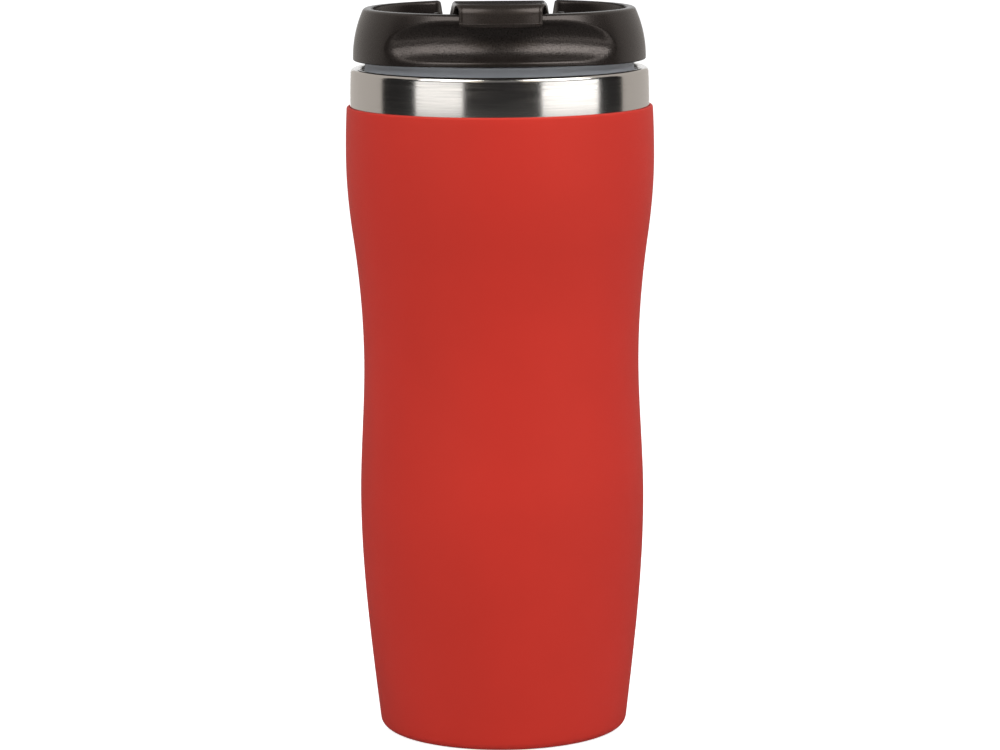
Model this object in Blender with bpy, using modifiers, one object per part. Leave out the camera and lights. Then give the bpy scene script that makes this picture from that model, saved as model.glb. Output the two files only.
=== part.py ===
"""Insulated travel mug: a waved double-wall cup, a press-in lid and a flip lever.

Metres, +Z up. The origin is the middle of the foot, and the thumb scoop faces -Y.
"""

import math

import bmesh
import bpy
from mathutils import Matrix

MM = 0.001
TURN = 2.0 * math.pi

# Driving dimensions
RING_STEPS = 48
FIT_GAP = 0.3 * MM
STEEL_SHEET = 0.6 * MM
SHELL_SHEET = 0.8 * MM
MERGE = 1e-6
CUT_OVER = 2.0 * MM
FILLET_STEPS = 3
SMOOTH_ANGLE = math.radians(35.0)

# Outer wall: stations of height, radius and slope that the waved side runs through
WAVE = (
    (0.0 * MM, 34.25 * MM, 0.115),
    (65.0 * MM, 39.43 * MM, 0.0),
    (103.0 * MM, 38.11 * MM, 0.0),
    (138.0 * MM, 40.73 * MM, 0.142),
    (160.0 * MM, 42.45 * MM, 0.0),
    (174.0 * MM, 42.08 * MM, -0.06),
)
WAVE_STEPS = (4, 2, 3, 3, 2)
SHELL_TOP = WAVE[-1][0]
SHOULDER_FILLET = 0.6 * MM
FOOT_FILLET = 2.2 * MM
FOOT_INNER_R = 30.0 * MM

# Pressed base plate
BASE_R = 33.0 * MM
BASE_SHEET = 0.8 * MM
BASE_STEP_R = 28.0 * MM
BASE_STEP_RUN = 1.8 * MM
BASE_RISE = 2.0 * MM

# Liner: inside of the cup, the mouth, the rolled rim and the bare band
CUP_FLOOR = 11.0 * MM
CUP_FLOOR_R = 26.0 * MM
CUP_FLOOR_FILLET = 6.5 * MM
CUP_NECK_Z = 152.0 * MM
CUP_NECK_R = 34.2 * MM
MOUTH_Z = 164.0 * MM
MOUTH_R = 38.05 * MM
RIM_Z = 184.5 * MM
RIM_FILLET = 1.3 * MM
BAND_TOP_R = 40.9 * MM
BAND_FOOT_R = 41.15 * MM
BAND_TUCK_R = 40.8 * MM
BAND_TUCK_RUN = 0.7 * MM
BAND_TUCK_DEPTH = 3.5 * MM
NECK_STEPS = 4

# Lid cap: outer moulding
LID_FOOT_Z = 187.2 * MM
LID_R = 40.2 * MM
LID_SIDE_ARC = 32.0 * MM
LID_TOP_Z = 200.9 * MM
LID_EDGE_FILLET = 1.1 * MM
LID_SIDE_STEPS = 5
WELL_TOP_R = 34.7 * MM
WELL_FLOOR_R = 34.2 * MM
WELL_FILLET = 1.0 * MM
DECK_Z = 188.8 * MM
DECK_SHEET = 1.8 * MM
COLLAR_OUTER_R = 33.2 * MM
COLLAR_INNER_R = 32.0 * MM
COLLAR_FOOT_Z = 183.5 * MM

# Thumb scoop: a round groove that runs about the front and lifts out at its ends
SCOOP_TUBE_R = 6.5 * MM
SCOOP_PATH_R = 42.4 * MM
SCOOP_PATH_Z = 194.8 * MM
SCOOP_LIFT = 4.6 * MM
SCOOP_SINK = 2.0 * MM
SCOOP_LEVEL_ANGLE = math.radians(28.0)
SCOOP_END_ANGLE = math.radians(50.0)
SCOOP_POINTS = 25
SCOOP_ROUND_STEPS = 10

# Rear notch in the rim, where the open lever lies
NOTCH_HALF_WIDTH = 15.8 * MM
NOTCH_FLOOR_Z = 190.0 * MM
NOTCH_FILLET = 1.5 * MM
NOTCH_MIDDLE_Y = 38.2 * MM
NOTCH_HALF_DEPTH = 8.0 * MM

# Drink hole, vent and hinge
DRINK_Y = -24.0 * MM
DRINK_R = 6.0 * MM
DRINK_TUBE_R = 7.4 * MM
VENT_Y = 24.0 * MM
VENT_R = 1.2 * MM
VENT_TUBE_R = 2.6 * MM
HINGE_Z = 197.2 * MM
PIN_R = 0.9 * MM
PIN_HALF_LENGTH = 17.2 * MM
EAR_R = 2.2 * MM
EAR_FOOT_HALF = 4.5 * MM
EAR_INNER_X = 15.2 * MM
EAR_SHEET = 2.3 * MM
EAR_HEAD_SWEEP = (math.radians(-15.0), math.radians(195.0))

# Lid plug
PLUG_R = 35.0 * MM
PLUG_WALL = 1.5 * MM
PLUG_FLOOR_Z = 168.0 * MM
PLUG_FLOOR_SHEET = 1.6 * MM
PLUG_CHAMFER = 0.9 * MM
PLUG_DRAFT = 0.3 * MM
BEAD_R = 36.4 * MM
BEAD_TOP_Z = 178.3 * MM
BEAD_HEIGHT = 2.7 * MM

# Seal ring
SEAL_R = 37.4 * MM
SEAL_FIN_R = MOUTH_R - FIT_GAP
SEAL_FIN_Z = (183.2 * MM, 181.0 * MM)
SEAL_FIN_HALF = 0.6 * MM
SEAL_CHAMFER = 0.25 * MM

# Flip lever
LEVER_TOP_Z = 202.5 * MM
LEVER_TILT = math.radians(1.85)
LEVER_SHEET = 1.4 * MM
FLAP_INNER_R = 38.2 * MM
FLAP_SHEET = 1.5 * MM
FLAP_DROP = 5.9 * MM
FLAP_BEND = 2.8 * MM
FLAP_EDGE = 0.35 * MM
LEVER_FRONT_HALF = 11.2 * MM
LEVER_REAR_HALF = 12.8 * MM
LEVER_FLARE = 7.0 * MM
LEVER_PLAN_STEPS = 6
LEVER_PLAN_DEPTH = 10.0 * MM
CHEEK_SHEET = 1.5 * MM
CHEEK_DRAFT = math.radians(10.0)
CHEEK_FRONT_Y = -31.0 * MM
CHEEK_FRONT_Z = 199.8 * MM
CHEEK_SWEEP = math.radians(-70.0)
BARREL_HALF = 12.6 * MM
BARREL_SWEEP = (math.radians(100.0), math.radians(-35.0))
BOSS_R = 4.6 * MM

# Lever stopper
STOPPER_FLANGE_R = 7.8 * MM
STOPPER_FLANGE_SHEET = 1.3 * MM
STOPPER_CONE_R = 5.6 * MM
STOPPER_TIP_R = 4.2 * MM
STOPPER_CONE_DEPTH = 2.5 * MM
STOPPER_CUP_WALL = 1.4 * MM
STOPPER_CUP_HEIGHT = 4.5 * MM
STOPPER_SOCKET_FLOOR = 2.1 * MM


def clear_scene():
    for old in list(bpy.data.objects):
        bpy.data.objects.remove(old, do_unlink=True)


def new_collection(name):
    collection = bpy.data.collections.new(name)
    bpy.context.scene.collection.children.link(collection)
    return collection


def finish_material(name, colour, roughness, metallic=0.0):
    made = bpy.data.materials.new(name)
    made.use_nodes = True
    shader = made.node_tree.nodes["Principled BSDF"]
    shader.inputs["Base Color"].default_value = (*colour, 1.0)
    shader.inputs["Roughness"].default_value = roughness
    shader.inputs["Metallic"].default_value = metallic
    return made


def arc(centre, radius, start, end, steps):
    """Points along an arc in the profile plane, from start to end in radians."""
    points = []
    for step in range(steps + 1):
        angle = start + (end - start) * step / steps
        points.append((centre[0] + radius * math.cos(angle), centre[1] + radius * math.sin(angle)))
    return points


def add_object(name, mesh, collection):
    made = bpy.data.objects.new(name, mesh)
    collection.objects.link(made)
    return made


def turned(name, profile, collection, closed=False, steps=RING_STEPS):
    """A turned piece: a profile of (radius, height) points carried round the Z axis."""
    count = len(profile)
    edges = [(i, i + 1) for i in range(count - 1)]
    if closed:
        edges.append((count - 1, 0))
    mesh = bpy.data.meshes.new(name)
    mesh.from_pydata([(radius, 0.0, height) for radius, height in profile], edges, [])
    made = add_object(name, mesh, collection)
    screw = made.modifiers.new("turn", "SCREW")
    screw.axis = "Z"
    screw.angle = TURN
    screw.steps = steps
    screw.render_steps = steps
    screw.use_merge_vertices = True
    screw.merge_threshold = MERGE
    screw.use_smooth_shade = True
    return made


def sheet(made, thickness):
    """Gives an open surface its wall, on the side away from its face."""
    wall = made.modifiers.new("wall", "SOLIDIFY")
    wall.thickness = thickness
    wall.offset = -1.0
    wall.use_even_offset = True
    return made


def outline(name, points, half_thickness, collection):
    """A flat outline in the curve's own XY plane, extruded both ways and made a mesh."""
    curve = bpy.data.curves.new(name, "CURVE")
    curve.dimensions = "2D"
    curve.fill_mode = "BOTH"
    curve.extrude = half_thickness
    spline = curve.splines.new("POLY")
    spline.points.add(len(points) - 1)
    for point, (u, v) in zip(spline.points, points):
        point.co = (u, v, 0.0, 1.0)
    spline.use_cyclic_u = True
    return mesh_from_curve(name, curve, collection)


def tube(name, points, radius, collection):
    """A round bar along a line of points, made a mesh."""
    curve = bpy.data.curves.new(name, "CURVE")
    curve.dimensions = "3D"
    curve.bevel_depth = radius
    curve.bevel_resolution = SCOOP_ROUND_STEPS
    curve.use_fill_caps = True
    spline = curve.splines.new("POLY")
    spline.points.add(len(points) - 1)
    for point, place in zip(spline.points, points):
        point.co = (*place, 1.0)
    return mesh_from_curve(name, curve, collection)


def mesh_from_curve(name, curve, collection):
    source = add_object(name + "_curve", curve, collection)
    bpy.context.view_layer.update()
    evaluated = source.evaluated_get(bpy.context.evaluated_depsgraph_get())
    mesh = bpy.data.meshes.new_from_object(evaluated)
    welded = bmesh.new()
    welded.from_mesh(mesh)
    bmesh.ops.remove_doubles(welded, verts=welded.verts, dist=MERGE)
    bmesh.ops.recalc_face_normals(welded, faces=welded.faces)
    welded.to_mesh(mesh)
    welded.free()
    made = add_object(name, mesh, collection)
    made.matrix_world = source.matrix_world
    bpy.data.objects.remove(source, do_unlink=True)
    return made


def cylinder(name, radius, low_z, high_z, y, collection, steps=32):
    """An upright cylinder between two heights."""
    mesh = bpy.data.meshes.new(name)
    shape = bmesh.new()
    place = Matrix.Translation((0.0, y, 0.5 * (low_z + high_z)))
    bmesh.ops.create_cone(shape, cap_ends=True, segments=steps, radius1=radius, radius2=radius,
                          depth=high_z - low_z, matrix=place)
    shape.to_mesh(mesh)
    shape.free()
    return add_object(name, mesh, collection)


def cross_bar(name, radius, half_length, collection, steps=20):
    """A cylinder along X through the origin, for pieces placed on the hinge."""
    mesh = bpy.data.meshes.new(name)
    shape = bmesh.new()
    bmesh.ops.create_cone(shape, cap_ends=True, segments=steps, radius1=radius, radius2=radius,
                          depth=2.0 * half_length, matrix=Matrix.Rotation(math.pi / 2.0, 4, "Y"))
    shape.to_mesh(mesh)
    shape.free()
    return add_object(name, mesh, collection)


def combine(made, other, operation):
    step = made.modifiers.new(operation.lower() + "_" + other.name, "BOOLEAN")
    step.operation = operation
    step.object = other
    step.solver = "EXACT"


def shape_smooth(made):
    made.data.shade_smooth()
    made.data.set_sharp_from_angle(angle=SMOOTH_ANGLE)


def wave_radius(height):
    """Radius of the outer wall at a height: cubic runs between the wave's stations."""
    for (z0, r0, m0), (z1, r1, m1) in zip(WAVE, WAVE[1:]):
        if height <= z1:
            run = z1 - z0
            t = (height - z0) / run
            start = (2 * t ** 3 - 3 * t ** 2 + 1) * r0 + (t ** 3 - 2 * t ** 2 + t) * run * m0
            end = (3 * t ** 2 - 2 * t ** 3) * r1 + (t ** 3 - t ** 2) * run * m1
            return start + end
    return WAVE[-1][1]


def wave_heights():
    heights = []
    for (z0, _, _), (z1, _, _), steps in zip(WAVE, WAVE[1:], WAVE_STEPS):
        heights.extend(z0 + (z1 - z0) * step / steps for step in range(steps))
    return heights


def build_outer_shell(parts):
    top_r = wave_radius(SHELL_TOP - SHOULDER_FILLET)
    shoulder = (top_r - SHOULDER_FILLET, SHELL_TOP - SHOULDER_FILLET)
    foot_r = wave_radius(FOOT_FILLET)
    foot = (foot_r - FOOT_FILLET, FOOT_FILLET)
    lip = [(BAND_FOOT_R + FIT_GAP, SHELL_TOP)]
    side = [(wave_radius(z), z) for z in reversed(wave_heights()) if z > FOOT_FILLET]
    profile = lip + arc(shoulder, SHOULDER_FILLET, math.pi / 2, 0.0, 2) + side
    profile += arc(foot, FOOT_FILLET, 0.0, -math.pi / 2, FILLET_STEPS) + [(FOOT_INNER_R, 0.0)]
    return sheet(turned("outer_shell", profile, parts), SHELL_SHEET)


def build_base_plate(parts):
    low = SHELL_SHEET + FIT_GAP
    high = low + BASE_RISE
    inner_r = BASE_STEP_R - BASE_STEP_RUN
    top = [(0.0, high + BASE_SHEET), (inner_r, high + BASE_SHEET), (BASE_STEP_R, low + BASE_SHEET)]
    edge = [(BASE_R, low + BASE_SHEET), (BASE_R, low)]
    under = [(BASE_STEP_R - 0.5 * BASE_SHEET, low), (inner_r - 0.5 * BASE_SHEET, high), (0.0, high)]
    return turned("base_plate", top + edge + under, parts)


def build_steel_liner(parts):
    floor = (CUP_FLOOR_R - CUP_FLOOR_FILLET, CUP_FLOOR + CUP_FLOOR_FILLET)
    profile = [(0.0, CUP_FLOOR)] + arc(floor, CUP_FLOOR_FILLET, -math.pi / 2, 0.0, FILLET_STEPS)
    for step in range(NECK_STEPS + 1):
        t = step / NECK_STEPS
        ease = t * t * (3.0 - 2.0 * t)
        profile.append((CUP_NECK_R + (MOUTH_R - CUP_NECK_R) * ease,
                        CUP_NECK_Z + (MOUTH_Z - CUP_NECK_Z) * t))
    rim_low = RIM_Z - RIM_FILLET
    profile += arc((MOUTH_R + RIM_FILLET, rim_low), RIM_FILLET, math.pi, math.pi / 2, FILLET_STEPS)
    profile += arc((BAND_TOP_R - RIM_FILLET, rim_low), RIM_FILLET, math.pi / 2, 0.0, FILLET_STEPS)
    band_foot_z = SHELL_TOP - SHELL_SHEET
    profile += [(BAND_FOOT_R, band_foot_z), (BAND_TUCK_R, band_foot_z - BAND_TUCK_RUN)]
    profile.append((BAND_TUCK_R, SHELL_TOP - BAND_TUCK_DEPTH))
    return sheet(turned("steel_liner", profile, parts), STEEL_SHEET)


def lid_side_radius(height):
    rise = height - LID_FOOT_Z
    return LID_R - LID_SIDE_ARC + math.sqrt(LID_SIDE_ARC ** 2 - rise ** 2)


def scoop_points():
    """The groove's centre line: level about the front, lifting out and down at both ends."""
    points = []
    for step in range(SCOOP_POINTS):
        angle = SCOOP_END_ANGLE * (2.0 * step / (SCOOP_POINTS - 1) - 1.0)
        past = max(0.0, abs(angle) - SCOOP_LEVEL_ANGLE) / (SCOOP_END_ANGLE - SCOOP_LEVEL_ANGLE)
        radius = SCOOP_PATH_R + SCOOP_LIFT * past ** 2
        height = SCOOP_PATH_Z - SCOOP_SINK * past ** 2
        points.append((radius * math.sin(angle), -radius * math.cos(angle), height))
    return points


def notch_outline():
    """The notch seen from behind: square at the top, rounded at its floor."""
    inset = NOTCH_HALF_WIDTH - NOTCH_FILLET
    floor = NOTCH_FLOOR_Z + NOTCH_FILLET
    above = LID_TOP_Z + CUT_OVER
    right = arc((inset, floor), NOTCH_FILLET, 0.0, -math.pi / 2, 4)
    left = arc((-inset, floor), NOTCH_FILLET, -math.pi / 2, -math.pi, 4)
    return [(NOTCH_HALF_WIDTH, above)] + right + left + [(-NOTCH_HALF_WIDTH, above)]


def ear_outline():
    """A hinge ear seen from the side: a round head on a foot that widens to the deck."""
    foot_z = DECK_Z - 0.5 * DECK_SHEET
    head = arc((0.0, HINGE_Z), EAR_R, *EAR_HEAD_SWEEP, 14)
    return [(EAR_FOOT_HALF, foot_z)] + head + [(-EAR_FOOT_HALF, foot_z)]


def stand_upright(made, x, y):
    """Turns an outline drawn in (y, z) to face along X, at the given place."""
    made.matrix_world = Matrix(((0, 0, 1, x), (1, 0, 0, y), (0, 1, 0, 0), (0, 0, 0, 1)))


def build_lid_cap(parts, cutters):
    edge_z = LID_TOP_Z - LID_EDGE_FILLET
    edge_r = lid_side_radius(edge_z)
    well_centre = (WELL_FLOOR_R - WELL_FILLET, DECK_Z + WELL_FILLET)
    well = arc(well_centre, WELL_FILLET, -math.pi / 2, 0.0, FILLET_STEPS)
    rim_in_centre = (WELL_TOP_R + LID_EDGE_FILLET, edge_z)
    rim_in = arc(rim_in_centre, LID_EDGE_FILLET, math.pi, math.pi / 2, FILLET_STEPS)
    rim_out_centre = (edge_r - LID_EDGE_FILLET, edge_z)
    rim_out = arc(rim_out_centre, LID_EDGE_FILLET, math.pi / 2, 0.0, FILLET_STEPS)
    side = []
    for step in range(1, LID_SIDE_STEPS + 1):
        z = edge_z + (LID_FOOT_Z - edge_z) * step / LID_SIDE_STEPS
        side.append((lid_side_radius(z), z))
    deck_under = DECK_Z - DECK_SHEET
    collar = [(COLLAR_OUTER_R, LID_FOOT_Z), (COLLAR_OUTER_R, COLLAR_FOOT_Z),
              (COLLAR_INNER_R, COLLAR_FOOT_Z), (COLLAR_INNER_R, deck_under), (0.0, deck_under)]
    profile = [(0.0, DECK_Z)] + well + rim_in + rim_out + side + collar
    cap = turned("lid_cap", profile, parts)

    scoop = tube("scoop_cutter", scoop_points(), SCOOP_TUBE_R, cutters)
    notch = outline("notch_cutter", notch_outline(), NOTCH_HALF_DEPTH, cutters)
    notch.matrix_world = Matrix(((1, 0, 0, 0), (0, 0, 1, NOTCH_MIDDLE_Y), (0, 1, 0, 0), (0, 0, 0, 1)))
    cut_low = deck_under - CUT_OVER
    cut_high = DECK_Z + CUT_OVER
    drink = cylinder("drink_cutter", DRINK_R, cut_low, cut_high, DRINK_Y, cutters)
    vent = cylinder("vent_cutter", VENT_R, cut_low, cut_high, VENT_Y, cutters, 16)
    for cutter in (scoop, notch, drink, vent):
        combine(cap, cutter, "DIFFERENCE")
    for side_sign in (-1, 1):
        side_name = "left" if side_sign < 0 else "right"
        ear = outline("ear_" + side_name, ear_outline(), 0.5 * EAR_SHEET, cutters)
        stand_upright(ear, side_sign * (EAR_INNER_X + 0.5 * EAR_SHEET), 0.0)
        combine(cap, ear, "UNION")
    pin_hole = cross_bar("ear_hole_cutter", PIN_R + FIT_GAP, EAR_INNER_X + EAR_SHEET + CUT_OVER, cutters)
    pin_hole.location = (0.0, 0.0, HINGE_Z)
    combine(cap, pin_hole, "DIFFERENCE")
    return cap


def build_lid_plug(parts, cutters):
    top_z = LID_FOOT_Z - FIT_GAP
    floor_z = PLUG_FLOOR_Z + PLUG_FLOOR_SHEET
    inner_r = PLUG_R - PLUG_WALL
    inside = [(0.0, floor_z), (inner_r - PLUG_CHAMFER, floor_z), (inner_r, floor_z + PLUG_CHAMFER)]
    bead = [(PLUG_R, BEAD_TOP_Z), (BEAD_R, BEAD_TOP_Z), (BEAD_R, BEAD_TOP_Z - 0.5 * BEAD_HEIGHT),
            (PLUG_R, BEAD_TOP_Z - BEAD_HEIGHT)]
    toe = [(PLUG_R - PLUG_DRAFT, PLUG_FLOOR_Z + PLUG_CHAMFER), (PLUG_R - PLUG_CHAMFER, PLUG_FLOOR_Z)]
    profile = inside + [(inner_r, top_z), (PLUG_R, top_z)] + bead + toe + [(0.0, PLUG_FLOOR_Z)]
    plug = turned("lid_plug", profile, parts)

    tube_low = PLUG_FLOOR_Z + 0.5 * PLUG_FLOOR_SHEET
    tube_high = DECK_Z - DECK_SHEET - FIT_GAP
    ways = (("drink", DRINK_Y, DRINK_TUBE_R, DRINK_R, 32), ("vent", VENT_Y, VENT_TUBE_R, VENT_R, 16))
    for name, y, outer_r, bore_r, steps in ways:
        wall = cylinder(name + "_tube", outer_r, tube_low, tube_high, y, cutters, steps)
        bore_low = PLUG_FLOOR_Z - CUT_OVER
        bore = cylinder(name + "_bore", bore_r, bore_low, tube_high + CUT_OVER, y, cutters, steps)
        combine(plug, wall, "UNION")
        combine(plug, bore, "DIFFERENCE")
    return plug


def build_seal_ring(parts):
    top_z = LID_FOOT_Z - FIT_GAP
    foot_z = BEAD_TOP_Z + FIT_GAP
    inner_r = PLUG_R + FIT_GAP
    profile = [(inner_r, top_z), (SEAL_R - SEAL_CHAMFER, top_z), (SEAL_R, top_z - SEAL_CHAMFER)]
    for fin_z in SEAL_FIN_Z:
        profile += [(SEAL_R, fin_z + SEAL_FIN_HALF), (SEAL_FIN_R, fin_z), (SEAL_R, fin_z - SEAL_FIN_HALF)]
    profile += [(SEAL_R, foot_z + SEAL_CHAMFER), (SEAL_R - SEAL_CHAMFER, foot_z), (inner_r, foot_z)]
    return turned("seal_ring", profile, parts, closed=True)


def lever_half_width(y):
    """Half the lever's width in plan: narrow at the flap, soon widening to its width at the hinge."""
    past = max(0.0, y + FLAP_INNER_R + FLAP_SHEET)
    return LEVER_REAR_HALF + (LEVER_FRONT_HALF - LEVER_REAR_HALF) * math.exp(-past / LEVER_FLARE)


def lever_plan():
    """The lever seen from above, with its points closest where it narrows to the flap."""
    flap_y = -(FLAP_INNER_R + FLAP_SHEET)
    front_y = flap_y - CUT_OVER
    right = [(lever_half_width(front_y), front_y)]
    for step in range(LEVER_PLAN_STEPS + 1):
        y = flap_y * (1.0 - (step / LEVER_PLAN_STEPS) ** 2)
        right.append((lever_half_width(y), y))
    return right + [(-x, y) for x, y in reversed(right)]


def cheek_outline():
    """A side cheek seen from the side, in (y, height over the hinge)."""
    reach = LEVER_TOP_Z - HINGE_Z
    top = reach - 0.5 * LEVER_SHEET
    round_end = arc((0.0, 0.0), top, math.pi / 2, CHEEK_SWEEP, 12)
    front_top = top - CHEEK_FRONT_Y * math.tan(LEVER_TILT)
    nose = [(CHEEK_FRONT_Y, CHEEK_FRONT_Z - HINGE_Z), (CHEEK_FRONT_Y, front_top)]
    return round_end + nose


def barrel_outline():
    """The curved rear wall round the hinge, in (y, height over the hinge)."""
    outer = LEVER_TOP_Z - HINGE_Z
    front, rear = BARREL_SWEEP
    return (arc((0.0, 0.0), outer, front, rear, 10)
            + arc((0.0, 0.0), outer - LEVER_SHEET, rear, front, 10))


def build_flip_lever(parts, cutters):
    """One turned dish is plate and flap, tilted up to the front and cut to plan; cheeks and barrel join it."""
    flap_r = FLAP_INNER_R + FLAP_SHEET
    bend = (flap_r - FLAP_BEND, -FLAP_BEND)
    inner_bend = FLAP_BEND - FLAP_SHEET
    profile = [(0.0, 0.0)] + arc(bend, FLAP_BEND, math.pi / 2, 0.0, 5)
    profile += [(flap_r, FLAP_EDGE - FLAP_DROP), (flap_r - FLAP_EDGE, -FLAP_DROP)]
    profile += [(FLAP_INNER_R + FLAP_EDGE, -FLAP_DROP), (FLAP_INNER_R, FLAP_EDGE - FLAP_DROP)]
    profile += arc((bend[0], -LEVER_SHEET - inner_bend), inner_bend, 0.0, math.pi / 2, 3)
    profile.append((0.0, -LEVER_SHEET))
    lever = turned("flip_lever", profile, parts)
    lever.location = (0.0, 0.0, LEVER_TOP_Z)
    lever.rotation_euler = (-LEVER_TILT, 0.0, 0.0)

    plan = outline("lever_plan", lever_plan(), LEVER_PLAN_DEPTH, cutters)
    plan.location = (0.0, 0.0, LEVER_TOP_Z)
    combine(lever, plan, "INTERSECT")

    barrel = outline("lever_barrel", barrel_outline(), BARREL_HALF, cutters)
    stand_upright(barrel, 0.0, 0.0)
    barrel.location = (0.0, 0.0, HINGE_Z)
    combine(lever, barrel, "UNION")

    reach = LEVER_TOP_Z - HINGE_Z
    rear = lever_half_width(0.0)
    spread = math.atan2(rear - lever_half_width(CHEEK_FRONT_Y), -CHEEK_FRONT_Y)
    for side_sign in (-1, 1):
        side_name = "left" if side_sign < 0 else "right"
        cheek = outline("cheek_" + side_name, cheek_outline(), 0.5 * CHEEK_SHEET, cutters)
        stand_upright(cheek, 0.0, 0.0)
        turn = (Matrix.Translation((side_sign * rear, 0.0, LEVER_TOP_Z))
                @ Matrix.Rotation(-side_sign * spread, 4, "Z")
                @ Matrix.Rotation(-side_sign * CHEEK_DRAFT, 4, "Y")
                @ Matrix.Translation((-side_sign * 0.5 * CHEEK_SHEET, 0.0, -reach)))
        cheek.matrix_world = turn @ cheek.matrix_world
        combine(lever, cheek, "UNION")

    socket_floor = stopper_low() + STOPPER_SOCKET_FLOOR
    boss_top = LEVER_TOP_Z - DRINK_Y * math.tan(LEVER_TILT) - 0.5 * LEVER_SHEET
    boss = cylinder("lever_boss", BOSS_R, socket_floor + FIT_GAP, boss_top, DRINK_Y, cutters)
    combine(lever, boss, "UNION")
    pin_hole = cross_bar("lever_hole_cutter", PIN_R + FIT_GAP, EAR_INNER_X, cutters)
    pin_hole.location = (0.0, 0.0, HINGE_Z)
    combine(lever, pin_hole, "DIFFERENCE")
    return lever


def stopper_low():
    """Height of the stopper flange's underside, just over the deck."""
    return DECK_Z + FIT_GAP


def build_lever_stopper(parts):
    low = stopper_low()
    socket_r = BOSS_R + FIT_GAP
    cup_r = socket_r + STOPPER_CUP_WALL
    cup_top = low + STOPPER_FLANGE_SHEET + STOPPER_CUP_HEIGHT
    flange_top = low + STOPPER_FLANGE_SHEET
    socket_floor = low + STOPPER_SOCKET_FLOOR
    profile = [(0.0, socket_floor), (socket_r, socket_floor), (socket_r, cup_top), (cup_r, cup_top),
               (cup_r, flange_top), (STOPPER_FLANGE_R, flange_top), (STOPPER_FLANGE_R, low),
               (STOPPER_CONE_R, low), (STOPPER_TIP_R, low - STOPPER_CONE_DEPTH),
               (0.0, low - STOPPER_CONE_DEPTH)]
    stopper = turned("lever_stopper", profile, parts, steps=32)
    stopper.location = (0.0, DRINK_Y, 0.0)
    return stopper


def build_hinge_pin(parts):
    pin = cross_bar("hinge_pin", PIN_R, PIN_HALF_LENGTH, parts)
    pin.location = (0.0, 0.0, HINGE_Z)
    shape_smooth(pin)
    return pin


def joint_empty(name, place, collection):
    empty = bpy.data.objects.new(name, None)
    empty.location = place
    collection.objects.link(empty)
    return empty


def hang(parent, children):
    """Parents pieces to an empty and keeps them where they are."""
    bpy.context.view_layer.update()
    for child in children:
        child.parent = parent
        child.matrix_parent_inverse = parent.matrix_world.inverted()


def build():
    clear_scene()
    parts = new_collection("travel_mug")
    cutters = new_collection("cutters")

    coat = finish_material("red soft-touch coat", (0.53, 0.045, 0.035), 0.55)
    steel = finish_material("brushed stainless steel", (0.62, 0.60, 0.58), 0.25, 1.0)
    plastic = finish_material("black moulded plastic", (0.022, 0.019, 0.017), 0.42)
    silicone = finish_material("grey silicone", (0.24, 0.25, 0.28), 0.5)

    shell = build_outer_shell(parts)
    plate = build_base_plate(parts)
    liner = build_steel_liner(parts)
    cap = build_lid_cap(parts, cutters)
    plug = build_lid_plug(parts, cutters)
    seal = build_seal_ring(parts)
    pin = build_hinge_pin(parts)
    lever = build_flip_lever(parts, cutters)
    stopper = build_lever_stopper(parts)

    finishes = ((coat, (shell,)), (steel, (plate, liner, pin)),
                (plastic, (cap, plug, lever)), (silicone, (seal, stopper)))
    for finish, pieces in finishes:
        for piece in pieces:
            piece.data.materials.append(finish)

    for helper in cutters.objects:
        helper.hide_render = True
        helper.display_type = "WIRE"

    lid_axis = joint_empty("lid_lift_axis", (0.0, 0.0, RIM_Z), parts)
    lever_axis = joint_empty("lever_flip_axis", (0.0, 0.0, HINGE_Z), parts)
    hang(lid_axis, (cap, plug, seal, pin, lever_axis))
    hang(lever_axis, (lever, stopper))


build()
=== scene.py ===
"""Finished looks of a waved travel mug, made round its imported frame.

Laid out as an add-on and run as a script: each piece has an operator, and main() calls them in order.
Sizes are metres in the frame's own axes: +Z up, with the thumb scoop towards -Y.
"""

import math
from contextlib import contextmanager

import bmesh
import bpy
import numpy as np
from bpy.props import FloatProperty, FloatVectorProperty, IntProperty, PointerProperty
from mathutils import Matrix, Vector


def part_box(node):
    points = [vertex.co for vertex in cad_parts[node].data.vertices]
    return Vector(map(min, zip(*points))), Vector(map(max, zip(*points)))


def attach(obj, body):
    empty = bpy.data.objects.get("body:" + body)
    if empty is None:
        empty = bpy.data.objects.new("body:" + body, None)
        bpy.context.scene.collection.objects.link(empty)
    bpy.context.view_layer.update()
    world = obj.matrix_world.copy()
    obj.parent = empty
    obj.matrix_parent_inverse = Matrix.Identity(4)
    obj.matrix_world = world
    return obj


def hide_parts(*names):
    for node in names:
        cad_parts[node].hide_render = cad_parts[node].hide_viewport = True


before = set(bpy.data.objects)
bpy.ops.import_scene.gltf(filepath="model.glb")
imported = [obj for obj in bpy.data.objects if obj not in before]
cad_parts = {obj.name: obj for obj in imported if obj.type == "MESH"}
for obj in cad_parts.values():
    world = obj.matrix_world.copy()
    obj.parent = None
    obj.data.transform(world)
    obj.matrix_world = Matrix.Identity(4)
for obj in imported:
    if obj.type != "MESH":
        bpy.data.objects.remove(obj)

bl_info = {
    "name": "Waved travel mug",
    "version": (1, 0, 0),
    "blender": (4, 5, 0),
    "location": "3D View > Sidebar > Mug",
    "description": "Builds the finished pieces of a waved travel mug and its studio",
    "category": "Add Mesh",
}

MM = 0.001
MERGE = 1e-6
SMOOTH_ANGLE = math.radians(40.0)

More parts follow.
